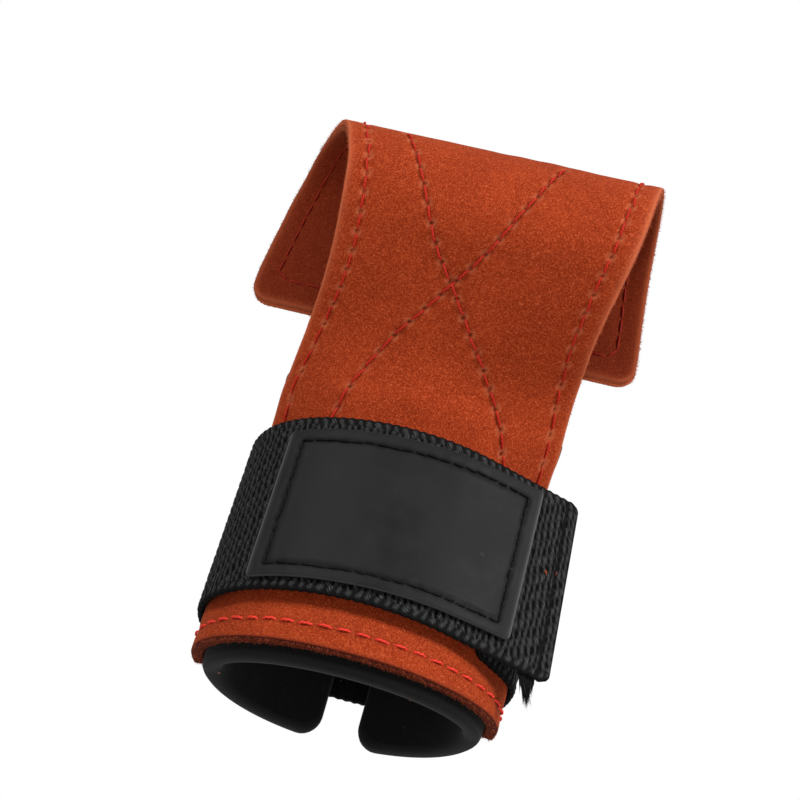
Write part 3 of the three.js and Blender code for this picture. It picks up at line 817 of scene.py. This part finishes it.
# inset from the cut edge and depth of each grid through the foam
PAD_ROUNDING = [(1.5, 0), (0.75, 0.3), (0.2, 0.95), (0, 2.0), (0, 3.0), (0.2, 4.05), (0.75, 4.7), (1.5, PAD_THICKNESS)]
pad_half = (SECTION_LENGTH - PAD_BACK_OPENING) / 2


def off_wrist(flat_point, height):
    """Point in space of a point of the wrist section at a height."""
    return np.stack([SHEET_SHIFT_WRIST + flat_point[..., 0], flat_point[..., 1], height], -1)


def section_grid(arc, height, out):
    point, normal = section(arc)
    return off_wrist(point + np.asarray(out)[..., None] * normal, height)


def pad_grid(rows, share, depth, inset, relief=0.0):
    edge = np.minimum(rows - PAD_BOTTOM, PAD_TOP - rows)
    arc = share * (pad_half - corner_trim(edge, PAD_CORNER) - inset)
    height = rows + inset * end_pull(rows, PAD_BOTTOM, PAD_TOP)
    flare = PAD_FLARE * beside_press(arc) * smooth(height, STRAP_WIDTH / 2, PAD_TOP)
    place = height + hem_rise(arc, height)
    release = np.where(height > 0, PAD_RELEASE, PRESS_HEIGHT_FADE)
    return section_grid(arc, place, PAD_OUTER + flare - press(arc, place, release) - depth + relief)


pad_rows, pad_shares = across_rows(rows_between(PAD_BOTTOM, PAD_TOP, PAD_CORNER, PAD_ROW_STEP), PAD_COLUMNS)
pad_wave = PAD_WAVE * ripple(pad_rows, pad_shares * pad_half, 23, 8) - PAD_WAVE
pad_grids = [
    pad_grid(pad_rows, pad_shares, depth, inset, pad_wave if depth in (0, PAD_THICKNESS) else 0.0)
    for inset, depth in PAD_ROUNDING
]

dust, dust_in, dust_out = effect("dust", [("Spread", "Float", 90.0), ("Amount", "Float", 0.5)], [("Mask", "Float")])
DUST_BEND = 0.012
dust_place = put(dust, "TexCoord").outputs["Object"]
dust_bent = put(dust, "TexNoise", {"Vector": dust_place, "Scale": 160.0, "Detail": 1.0}).outputs[1]
dust_bent = put(dust, "VectorMath", {0: dust_bent, 1: (DUST_BEND,) * 3}, operation="MULTIPLY").outputs[0]
dust_mixed = put(dust, "VectorMath", {0: dust_place, 1: dust_bent}, operation="ADD").outputs[0]
dust_cell = put(dust, "TexVoronoi", {"Vector": dust_mixed, "Scale": dust_in["Spread"]}).outputs[0]
fleck_scale = calc(dust, "MULTIPLY", dust_in["Spread"], 3.1)
dust_fleck = put(dust, "TexVoronoi", {"Vector": dust_mixed, "Scale": fleck_scale}).outputs[0]
dust_fleck = band(dust, dust_fleck, 0.025, 0.05, 0.6, 0.0)
dust_mask = calc(dust, "ADD", band(dust, dust_cell, 0.03, 0.05, 1.0, 0.0), dust_fleck)
dust.links.new(calc(dust, "MULTIPLY", dust_mask, dust_in["Amount"]), dust_out["Mask"])


def dusty(tree, tone, spread, amount, colour):
    """Scatters small flecks of lint over a colour."""
    flecks = place_effect(tree, dust, {"Spread": spread, "Amount": amount})
    return blend_colour(tree, flecks["Mask"], tone, colour)


knit_foam, tree, surface = finish_material(
    "knit_foam", Roughness=0.88, Sheen_Weight=0.05, Sheen_Roughness=0.5, Specular_IOR_Level=0.15,
)
knit = place_effect(tree, nap, {
    "Grain": 2600.0, "Base": (0.0036, 0.0036, 0.0037, 1), "Fibre": (0.01, 0.01, 0.01, 1),
    "Shade": (0.0028, 0.0028, 0.003, 1), "Fuzz": 0.5,
})
tone = dusty(tree, knit["Colour"], 70.0, 0.5, (0.3, 0.12, 0.07, 1))
dress(tree, surface, tone, knit["Height"], 0.45, 0.00015)
wrist_foam = make_piece("wrist_foam", *closed_sheet(pad_grids), knit_foam, "neoprene")
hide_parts("wrist_pad")

# Loop tape: black loop pile 46 mm wide, sewn flat on the palm side of the leather under the closed strap. Only its
# edges show, between the leather and the strap.
LOOP_TAPE_FROM = -34
LOOP_TAPE_TO = 29
TAPE_WIDTH = 46
TAPE_STEP = 0.9
LOOP_ROUNDING = 0.99
PILE_RELIEF = 0.1
loop_arcs, loop_heights = np.meshgrid(
    even_rows(LOOP_TAPE_FROM, LOOP_TAPE_TO, TAPE_STEP), even_rows(-TAPE_WIDTH / 2, TAPE_WIDTH / 2, TAPE_STEP),
    indexing="ij",
)
loop_back = CLEARANCE - PRESS
loop_pile = loop_back + LOOP_TAPE_THICKNESS - PILE_RELIEF + PILE_RELIEF * ripple(loop_arcs, loop_heights, 1.6, 21, 12)
loop_layers = [(LOOP_ROUNDING, loop_pile), (1, loop_back + LOOP_TAPE_THICKNESS / 2), (LOOP_ROUNDING, loop_back)]
loop_grids = [section_grid(loop_arcs * shrunk, loop_heights * shrunk, out) for shrunk, out in loop_layers]
pile_cloth, tree, surface = finish_material("pile_cloth", Roughness=0.9, Sheen_Weight=0.05, Specular_IOR_Level=0.12)
pile = place_effect(tree, nap, {
    "Grain": 2300.0, "Base": (0.006, 0.006, 0.0065, 1), "Fibre": (0.03, 0.03, 0.032, 1),
    "Shade": (0.002, 0.002, 0.002, 1), "Fuzz": 0.8,
})
dress(tree, surface, pile["Colour"], pile["Height"], 0.9, 0.0004)
loop_cloth = make_piece("loop_cloth", *closed_sheet(loop_grids), pile_cloth, "fastening_tape")
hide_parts("loop_tape")

# Strap: two inch black nylon webbing, one turn round the wrist over the leather and pad and back over its own inner
# end. Heavy basket weave with a knobbly selvage, heat-cut corners and a stitched hem at the free end, which stands off.
STRAP_THICKNESS = 1.7
STRAP_INNER_END = 32
STRAP_STRAIGHT_FROM = 22
STRAP_FREE_END = 49.5
STRAP_LEVEL = -0.5
STRAP_RISE = -0.015
STRAP_END_SLANT = 0.046
STRAP_STEP_LENGTH = 12
STRAP_CORNER = 2.5
STRAP_INSET_REACH = 4
LEATHER_EDGE = LEATHER_HALF_WIDTH + STRAP_PRESS_MARGIN
BACK_REST = PAD_OUTER + CLEARANCE
FLOAT_PITCH = 1.6
FLOAT_ROWS = 18
FLOAT_SHIFT = 0.385
GAP_LENGTH = 0.48
GAP_WIDTH = 1.0
KNOB_PITCH = 2.3
KNOB_LEAN = 0.16
KNOB_REACH = 0.25
WEAVE_RELIEF = 0.6
SELVAGE = 2.2
BODY_EDGE = STRAP_WIDTH / 2 - SELVAGE
FLOAT_ROW = 2 * BODY_EDGE / FLOAT_ROWS
HEM_GROOVE = 3.6
HEM_GROOVE_WIDTH = 0.34
FILAMENT_PITCH = 0.62
FILAMENT_SLOPE = -0.9
FILAMENT_WOBBLE = 9.0
GAP_WOBBLE = 2.2


def strap_rest(arc):
    """Height of the strap's inner face over the wrist section."""
    inner_turn = CLEARANCE - press(arc, 0)
    dropped = smooth(arc, LEATHER_EDGE, LEATHER_EDGE + STRAP_STEP_LENGTH)
    left = SECTION_LENGTH - LEATHER_EDGE
    raised = smooth(arc, left - STRAP_STEP_LENGTH, left)
    lowered = inner_turn + (BACK_REST - inner_turn) * dropped
    return lowered + (CLEARANCE - lowered) * raised


def strap_on_wrist(arc):
    point, normal = section(arc)
    return point + strap_rest(arc)[..., None] * normal


def strap_grid(arc, below, out, level=None):
    """Point of the strap over its inner face, at a height below its middle; past the wrist it runs on straight."""
    arc = np.asarray(arc, float)
    if level is None:
        level = STRAP_LEVEL + STRAP_RISE * np.maximum(arc - SECTION_LENGTH, 0)
        arc = arc + STRAP_END_SLANT * below * smooth(arc - SECTION_LENGTH, STRAP_STRAIGHT_FROM, STRAP_FREE_END)
    bent = np.minimum(arc, SECTION_LENGTH + STRAP_STRAIGHT_FROM)
    heading = unit(strap_on_wrist(bent) - strap_on_wrist(bent - HEADING_STEP))
    flat_point = strap_on_wrist(bent) + heading * (arc - bent)[..., None]
    normal = np.stack([heading[..., 1], -heading[..., 0]], -1)
    return off_wrist(flat_point + np.asarray(out)[..., None] * normal, level - below)


strap_end = SECTION_LENGTH + STRAP_FREE_END


def strap_half(arc, start, end, half, corner):
    return half - corner_trim(np.minimum(arc - start, end - arc), corner)


def uneven(first, second):
    """Small wander of the yarns, in millimetres."""
    return 0.17 * np.sin(0.9 * first + 0.55 * second) + 0.13 * np.sin(2.1 * first - 1.3 * second + 1.0)


def weave_height(arc, below):
    """Webbing relief, 0 in the gaps to 1 on the slanting floats between them, with knobs along each selvage."""
    place, level = arc + uneven(arc, below), below + uneven(below, arc)
    step, start_row = place / FLOAT_PITCH, (level + BODY_EDGE) / FLOAT_ROW
    gap = 0.0
    for side in (-1, 0, 1):
        column = np.floor(step) + side
        beside = place - (column + 0.5) * FLOAT_PITCH
        row = start_row + FLOAT_SHIFT * column
        over = (row - np.floor(row) - 0.5) * FLOAT_ROW
        size = 0.72 + 0.28 * np.sin(12.9 * column + 78.2 * np.floor(row))
        gap = gap + size * np.exp(-((beside / GAP_LENGTH) ** 2) - np.abs(over / GAP_WIDTH) ** 3)
    turn = start_row + FLOAT_SHIFT * (step - 0.5) - 0.5
    body = np.clip(0.8 + 0.2 * np.cos(2 * math.pi * turn) - gap, 0, 1)
    from_edge = STRAP_WIDTH / 2 - np.abs(below)
    middle = (from_edge - SELVAGE / 2) / (SELVAGE / 2)
    knob_turn = 2 * math.pi * (place / KNOB_PITCH - KNOB_LEAN * middle)
    knob = (0.56 + 0.3 * np.cos(knob_turn)) * np.sqrt(np.clip(1 - 0.92 * middle**2, 0, 1))
    relief = np.where(from_edge < SELVAGE - 1e-6, knob, body)
    hem = bell(arc + 0.5 * uneven(below, arc) - (strap_end - HEM_GROOVE), HEM_GROOVE_WIDTH)
    return relief * (1 - 0.97 * hem)


body_columns = np.linspace(-BODY_EDGE, BODY_EDGE, 4 * FLOAT_ROWS + 1)
edge_columns = STRAP_WIDTH / 2 - np.linspace(SELVAGE, 0, 5)[1:]
strap_shares = np.concatenate([-edge_columns[::-1], body_columns, edge_columns]) / (STRAP_WIDTH / 2)
strap_rows = rows_between(STRAP_INNER_END, strap_end, STRAP_CORNER, FLOAT_PITCH / 6)
strap_arcs, strap_share = np.meshgrid(strap_rows, strap_shares, indexing="ij")
weave_at = strap_share * STRAP_WIDTH / 2
weave = weave_height(strap_arcs, weave_at)


def strap_layer(arcs, share, out, inset):
    knob = KNOB_REACH * (0.5 - 0.5 * np.cos(2 * math.pi * arcs / KNOB_PITCH))
    half = strap_half(arcs, STRAP_INNER_END, strap_end, STRAP_WIDTH / 2, STRAP_CORNER) - inset - knob
    drawn = inset * end_pull(arcs, STRAP_INNER_END, strap_end, STRAP_INSET_REACH)
    return strap_grid(arcs + drawn, share * half, out)


SIDE_ROUNDING = 0.35
# height over the inner face and inset of the rims between the woven outer face and the plain, coarser inner face
STRAP_RIMS = [(STRAP_THICKNESS * 0.72, 0.05), (STRAP_THICKNESS * 0.4, 0.0), (0.12, 0.12)]
INNER_COLUMNS = 9
# painted shade on the strap's rims and inner face, which lie in shadow under its edge
RIM_SHADE = 0.85
outer_face = (STRAP_THICKNESS - WEAVE_RELIEF * (1 - weave) + 0.05, SIDE_ROUNDING)
strap_grids = [strap_layer(strap_arcs, strap_share, out, inset) for out, inset in [outer_face] + STRAP_RIMS]
strap_points, rings, total = outer_skin(strap_grids)
inner_columns = np.linspace(0, len(strap_shares) - 1, INNER_COLUMNS).round().astype(int)
inner_arcs, inner_share = strap_arcs[:, inner_columns], strap_share[:, inner_columns]
strap_points.append(strap_layer(inner_arcs, inner_share, 0.0, SIDE_ROUNDING).reshape(-1, 3))
strap_points = np.concatenate(strap_points)
inner_ids = total + np.arange(inner_arcs.size).reshape(inner_arcs.shape)
strap_faces = grid_quads(*strap_arcs.shape).tolist() + np.concatenate(between_rings(rings)).tolist()
strap_faces += grid_quads(*inner_arcs.shape, total)[:, ::-1].tolist()
last, (long, wide) = rings[-1], strap_arcs.shape
right_side = last[wide - 1:wide + long - 1]
left_side = np.append(last[2 * wide + long - 3:], last[0])
for side, inner_side in ((right_side, inner_ids[:, -1]), (left_side, inner_ids[::-1, 0])):
    strap_faces += np.stack([side[:-1], side[1:], inner_side[1:], inner_side[:-1]], -1).tolist()
far_end = last[wide + long - 2:2 * wide + long - 2]
for end, inner_end in ((last[:wide], inner_ids[0]), (far_end[::-1], inner_ids[-1])):
    for k in range(INNER_COLUMNS - 1):
        fan = end[inner_columns[k]:inner_columns[k + 1] + 1].tolist()
        strap_faces.append(fan + [int(inner_end[k + 1]), int(inner_end[k])])


def lay_of(arcs, level):
    """Place of each point on the flat webbing."""
    return np.stack([arcs, level, np.zeros(arcs.shape)], -1).reshape(-1, 3)


outer_lay = lay_of(strap_arcs + uneven(strap_arcs, weave_at), weave_at + uneven(weave_at, strap_arcs))
rim_lay = lay_of(strap_arcs, weave_at)[rings[0]]
lay = np.concatenate([outer_lay] + [rim_lay] * len(STRAP_RIMS) + [lay_of(inner_arcs, inner_share * STRAP_WIDTH / 2)])
# how deep each point of the weave lies, for painted shade in its recesses and hem groove; rims and inner face get
# painted shade too
hole = np.concatenate([1 - weave.ravel(), np.full(len(strap_points) - weave.size, RIM_SHADE)])

filaments_and_glints, filaments_in, filaments_out = effect(
    "filaments_and_glints", [("Lay", "Vector", (0, 0, 0)), ("Pitch", "Float", 0.32), ("Slope", "Float", 0.7)], [("Line", "Float")],
)
do = partial(calc, filaments_and_glints)
parts = put(filaments_and_glints, "SeparateXYZ", {0: filaments_in["Lay"]}).outputs
wobble = noise(filaments_and_glints, filaments_in["Lay"], 0.9, 2.0)
slanted = do("ADD", parts[0], do("MULTIPLY", parts[1], filaments_in["Slope"]))
turned = do("MULTIPLY", do("DIVIDE", slanted, filaments_in["Pitch"]), 2 * math.pi)
turned = do("ADD", turned, do("MULTIPLY", wobble, FILAMENT_WOBBLE))
filaments_and_glints.links.new(do("MULTIPLY_ADD", do("SINE", turned), 0.5), filaments_out["Line"])

weave_gaps, gaps_in, gaps_out = effect(
    "weave_gaps",
    [("Lay", "Vector", (0, 0, 0)), ("Pitch", "Float", 1.0), ("Row", "Float", 1.0), ("First row", "Float", 0.0),
     ("Shift", "Float", 0.0)],
    [("Hole", "Float")],
)
do = partial(calc, weave_gaps)
parts = put(weave_gaps, "SeparateXYZ", {0: gaps_in["Lay"]}).outputs
wobble = noise(weave_gaps, gaps_in["Lay"], 0.7, 1.0)
gap_step = do("DIVIDE", parts[0], gaps_in["Pitch"])
gap_row = do("DIVIDE", do("SUBTRACT", parts[1], gaps_in["First row"]), gaps_in["Row"])
gap_row = do("ADD", gap_row, do("MULTIPLY", do("FLOOR", gap_step), gaps_in["Shift"]))
gap_square = do("MULTIPLY", do("SUBTRACT", wobble, 0.5), GAP_WOBBLE)
for turn, reach in ((gap_step, GAP_LENGTH / FLOAT_PITCH), (gap_row, GAP_WIDTH / FLOAT_ROW)):
    off_middle = do("ABSOLUTE", do("SUBTRACT", do("FRACT", turn), 0.5))
    gap_square = do("ADD", gap_square, do("POWER", do("DIVIDE", off_middle, reach), 2.0))
weave_gaps.links.new(band(weave_gaps, gap_square, 0.15, 1.25, 1.0, 0.0), gaps_out["Hole"])

webbing, tree, surface = finish_material("webbing", Roughness=0.5, Specular_IOR_Level=0.1)
laid = mark(tree, "lay", "Vector")
deep = mark(tree, "deep")
lines = place_effect(tree, filaments_and_glints, {"Lay": laid, "Pitch": FILAMENT_PITCH, "Slope": FILAMENT_SLOPE})["Line"]
gaps = place_effect(tree, weave_gaps, {
    "Lay": laid, "Pitch": FLOAT_PITCH, "Row": FLOAT_ROW, "First row": -BODY_EDGE, "Shift": FLOAT_SHIFT,
})["Hole"]
level = calc(tree, "ABSOLUTE", put(tree, "SeparateXYZ", {0: laid}).outputs[1])
gaps = calc(tree, "MULTIPLY", gaps, band(tree, level, BODY_EDGE, BODY_EDGE + 0.1, 1.0, 0.0))
# painted glints: light streaks along the filaments over the dark yarn stand in for highlights; the same lines also give
# the relief
tone = blend_colour(tree, band(tree, lines, 0.15, 0.9), (0.0045, 0.0045, 0.005, 1), (0.052, 0.052, 0.053, 1))
# painted shade: darker down in the weave's recesses, in the hem groove and on the rims and inner face
tone = blend_colour(tree, band(tree, deep, 0.15, 0.75), tone, (0.0035, 0.0035, 0.0035, 1))
# painted shade: the openings between the floats are painted near black
tone = blend_colour(tree, gaps, tone, (0.0008, 0.0008, 0.0008, 1))
tone = dusty(tree, tone, 120.0, 0.35, (0.2, 0.19, 0.18, 1))
dress(tree, surface, tone, lines, 0.35, 0.00012, band(tree, deep, 0.0, 0.8, 0.42, 0.85))
strap_webbing = make_piece("strap_webbing", strap_points, strap_faces, webbing, "webbing", {"lay": lay, "deep": hole})
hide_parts("strap")
LINT_RADIUS = 0.13
LINT_WAY = np.array([0.35, 0.0, -1.0])
# each fleck: how far before the free end, how far below the middle, its length and its number of fibres
LINT_PLACES = [(6.7, -2.9, 1.5, 4), (3.6, -4.0, 0.7, 2)]
lint_chance = np.random.default_rng(51)
lint_fibres = []
for before_end, below, length, amount in LINT_PLACES:
    spot = strap_grid(strap_end - before_end, below, STRAP_THICKNESS + 0.15)
    for _ in range(amount):
        base = spot + lint_chance.normal(0, 0.15, 3)
        way = LINT_WAY + lint_chance.normal(0, 0.35, 3)
        lint_fibres.append((base, way, length * lint_chance.uniform(0.6, 1.0)))
bases, ways, lengths = (np.array(values) for values in zip(*lint_fibres))
points, faces = fibre_mesh(bases, unit(ways), lengths, LINT_RADIUS, lint_chance)
lint_marks = {"rubbed": np.full(len(points), 0.6), "sunk": np.zeros(len(points))}
strap_lint = make_piece("strap_lint", points, faces, palm_suede, "webbing", lint_marks)

# Hook tape: black hook tape sewn to the inner side of the strap's free part, its small hooks towards the wrist.
# Past the wrist it shows under the free end.
HOOK_TAPE_FROM = SECTION_LENGTH - 32
HOOK_TAPE_TO = strap_end - 4
TAPE_CORNER = 1.5
HOOK_BACKING = 0.4
HOOK_ROW_STEP = 1.0
HOOK_COLUMNS = 47
HOOK_PITCH = 1.5
HOOK_MARGIN = 2
HOOK_RADIUS = 0.11
NO_TWIST = 50.0
# a hook's lean along the tape and its rise over the backing, from root to tip
HOOK_CURVE = [(0.0, 0.0), (0.02, 0.3), (0.15, 0.46), (0.36, 0.4), (0.42, 0.26)]
hook_rows = rows_between(HOOK_TAPE_FROM, HOOK_TAPE_TO, TAPE_CORNER, HOOK_ROW_STEP)
hook_arcs, hook_share = across_rows(hook_rows, HOOK_COLUMNS)


def hook_layer(under, inset):
    half = strap_half(hook_arcs, HOOK_TAPE_FROM, HOOK_TAPE_TO, TAPE_WIDTH / 2, TAPE_CORNER) - inset
    return strap_grid(hook_arcs, hook_share * half, -CLEARANCE - under)


hook_grids = [hook_layer(0, 0.15), hook_layer(HOOK_BACKING / 2, 0), hook_layer(HOOK_BACKING, 0.15)]
hook_cloth = make_piece("hook_cloth", *closed_sheet(hook_grids), pile_cloth, "fastening_tape")
hook_reach = TAPE_WIDTH / 2 - HOOK_MARGIN
hook_a, hook_b = np.meshgrid(
    even_rows(HOOK_TAPE_FROM + HOOK_MARGIN, HOOK_TAPE_TO - HOOK_MARGIN, HOOK_PITCH),
    even_rows(-hook_reach, hook_reach, HOOK_PITCH), indexing="ij",
)
hook_places = np.stack([
    strap_grid(hook_a.ravel() + lean, hook_b.ravel(), -CLEARANCE - HOOK_BACKING - rise) for lean, rise in HOOK_CURVE
], 1)
sideways = np.broadcast_to((0.0, 0.0, 1.0), hook_places.shape)
points, faces, _ = thread_mesh(hook_places, sideways, HOOK_RADIUS, NO_TWIST, thin_ends=0.8, sides=4)
hook_bristles = make_piece("hook_bristles", points, faces, pile_cloth, "fastening_tape")
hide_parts("hook_tape")
FRAY_COUNT = 240
FRAY_FROM_END = 5.0
FRAY_RADIUS = 0.3
FRAY_DROP = 7
fray_chance = np.random.default_rng(52)
fray_arcs = strap_end - FRAY_FROM_END + fray_chance.uniform(-3.4, 1.5, FRAY_COUNT)
fray_bases = strap_grid(fray_arcs, TAPE_WIDTH / 2 - 0.6, -CLEARANCE - HOOK_BACKING / 2)
fray_tip = strap_grid(strap_end - FRAY_FROM_END + 1.0, STRAP_WIDTH / 2 + FRAY_DROP, -CLEARANCE)
fray_ways = fray_tip - fray_bases + fray_chance.normal(0, 0.45, (FRAY_COUNT, 3))
fray_lengths = np.linalg.norm(fray_ways, axis=1) * fray_chance.uniform(0.45, 1.05, FRAY_COUNT)
points, faces = fibre_mesh(fray_bases, unit(fray_ways), fray_lengths, FRAY_RADIUS, fray_chance)
hook_fray = make_piece("hook_fray", points, faces, pile_cloth, "fastening_tape")

# Patch: a plain dark synthetic patch sewn on the outside of the strap over the palm side, left bare, with a black
# seam just inside its edge and a pale cut edge at both ends.
PATCH_THICKNESS = 1
PATCH_FROM = SECTION_LENGTH - 29.4
PATCH_TO = SECTION_LENGTH + 36.9
PATCH_LEVEL = -0.95
PATCH_TILT = 0.034
PATCH_HEIGHT = 43.3
PATCH_CORNER = 1.2
PATCH_SEAM_END = 4.0
PATCH_SEAM_SIDE = 3.4
PATCH_BACK = STRAP_THICKNESS + CLEARANCE
PATCH_ROW_STEP = 0.7
PATCH_COLUMNS = 61
PATCH_PITCH = 3.1
SEAM_GROOVE, SEAM_GROOVE_WIDTH = 0.32, 0.7
PUCKER, PUCKER_REACH = 0.22, 2.0
patch_rows = rows_between(PATCH_FROM, PATCH_TO, PATCH_CORNER, PATCH_ROW_STEP)
patch_arcs, patch_share = across_rows(patch_rows, PATCH_COLUMNS)
seam_from, seam_to = PATCH_FROM + PATCH_SEAM_END, PATCH_TO - PATCH_SEAM_END
seam_side = PATCH_HEIGHT / 2 - PATCH_SEAM_SIDE
PATCH_SEAM = [(seam_from, -seam_side), (seam_to, -seam_side), (seam_to, seam_side), (seam_from, seam_side)]
PATCH_SEAM.append(PATCH_SEAM[0])
patch_across = patch_share * PATCH_HEIGHT / 2
to_seam = distance_to_line(patch_arcs, patch_across, PATCH_SEAM)
pucker = PUCKER * ripple(patch_arcs, patch_across, 3.4, 32) * bell(to_seam, PUCKER_REACH)
patch_relief = pucker + 0.06 * ripple(patch_arcs, patch_across, 16, 31) - 0.05
patch_relief = patch_relief - SEAM_GROOVE * bell(to_seam, SEAM_GROOVE_WIDTH) + 0.1 * bell(to_seam - 1.5, 0.7)
patch_edge = np.minimum(patch_arcs - PATCH_FROM, PATCH_TO - patch_arcs)


def on_patch_line(arc, below, out):
    return strap_grid(arc, below, out, PATCH_LEVEL + PATCH_TILT * (arc - SECTION_LENGTH))


def patch_layer(out, inset):
    half = strap_half(patch_arcs, PATCH_FROM, PATCH_TO, PATCH_HEIGHT / 2, PATCH_CORNER) - inset
    drawn = inset * end_pull(patch_arcs, PATCH_FROM, PATCH_TO, STRAP_INSET_REACH)
    return on_patch_line(patch_arcs + drawn, patch_share * half, PATCH_BACK + out)


patch_grids = [
    patch_layer(PATCH_THICKNESS + patch_relief, 0.22), patch_layer(PATCH_THICKNESS - 0.14, 0.05),
    patch_layer(PATCH_THICKNESS / 2, 0), patch_layer(0, 0.1),
]
patch_skin, tree, surface = finish_material("patch_skin", Roughness=0.6, Specular_IOR_Level=0.1)
patch_place = put(tree, "TexCoord").outputs["Object"]
mottle = noise(tree, patch_place, 95.0, 5.0, Roughness=0.62)
tone = blend_colour(tree, band(tree, mottle, 0.3, 0.72), (0.0105, 0.0105, 0.0108, 1), (0.0165, 0.0165, 0.017, 1))
tone = blend_colour(tree, mark(tree, "rubbed"), tone, (0.12, 0.12, 0.125, 1))
# painted shade: the patch is painted darker in the groove along its seam
tone = blend_colour(tree, mark(tree, "sunk"), tone, (0.002, 0.002, 0.002, 1))
tone = dusty(tree, tone, 110.0, 0.1, (0.16, 0.15, 0.15, 1))
grain = noise(tree, patch_place, 2100.0, 2.0)
dress(tree, surface, tone, grain, 0.3, 0.0001, band(tree, mottle, 0.3, 0.75, 0.5, 0.68))
patch_marks = {
    "rubbed": marks_for(patch_grids, 0.75 * np.exp(-patch_edge / 0.35), 0.25),
    "sunk": marks_for(patch_grids, 0.8 * bell(to_seam, 0.55)),
}
patch_plate = make_piece("patch_plate", *closed_sheet(patch_grids), patch_skin, "patch", patch_marks)
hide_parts("patch")


def on_patch(arc, height, out):
    return on_patch_line(arc, height, PATCH_BACK + PATCH_THICKNESS + out)


def on_strap(arc, height, out):
    return strap_grid(arc, height, STRAP_THICKNESS + out)


black_thread = thread_material("black_thread", (0.005, 0.005, 0.0055, 1), (0.0015, 0.0015, 0.0015, 1), 0.12)
BLACK_PLY_TURN = 1.6
patch_holes = [holes_along([first, second], PATCH_PITCH) for first, second in zip(PATCH_SEAM, PATCH_SEAM[1:])]
patch_seam = sew(
    "patch_seam", patch_holes, on_patch, black_thread, "webbing", 15,
    radius=0.38, lift=-0.06, sink=0.55, wander=0.14, ply_turn=BLACK_PLY_TURN,
)
STRAP_HEM_PITCH = 2.6
hem_side = STRAP_WIDTH / 2 - 2
hem_line = [(strap_end - HEM_GROOVE, -hem_side), (strap_end - HEM_GROOVE, hem_side)]
strap_hem = sew(
    "strap_hem", [holes_along(hem_line, STRAP_HEM_PITCH)], on_strap, black_thread, "webbing", 16,
    radius=0.25, lift=-0.42, sink=0.7, wander=0.05, ply_turn=BLACK_PLY_TURN,
)
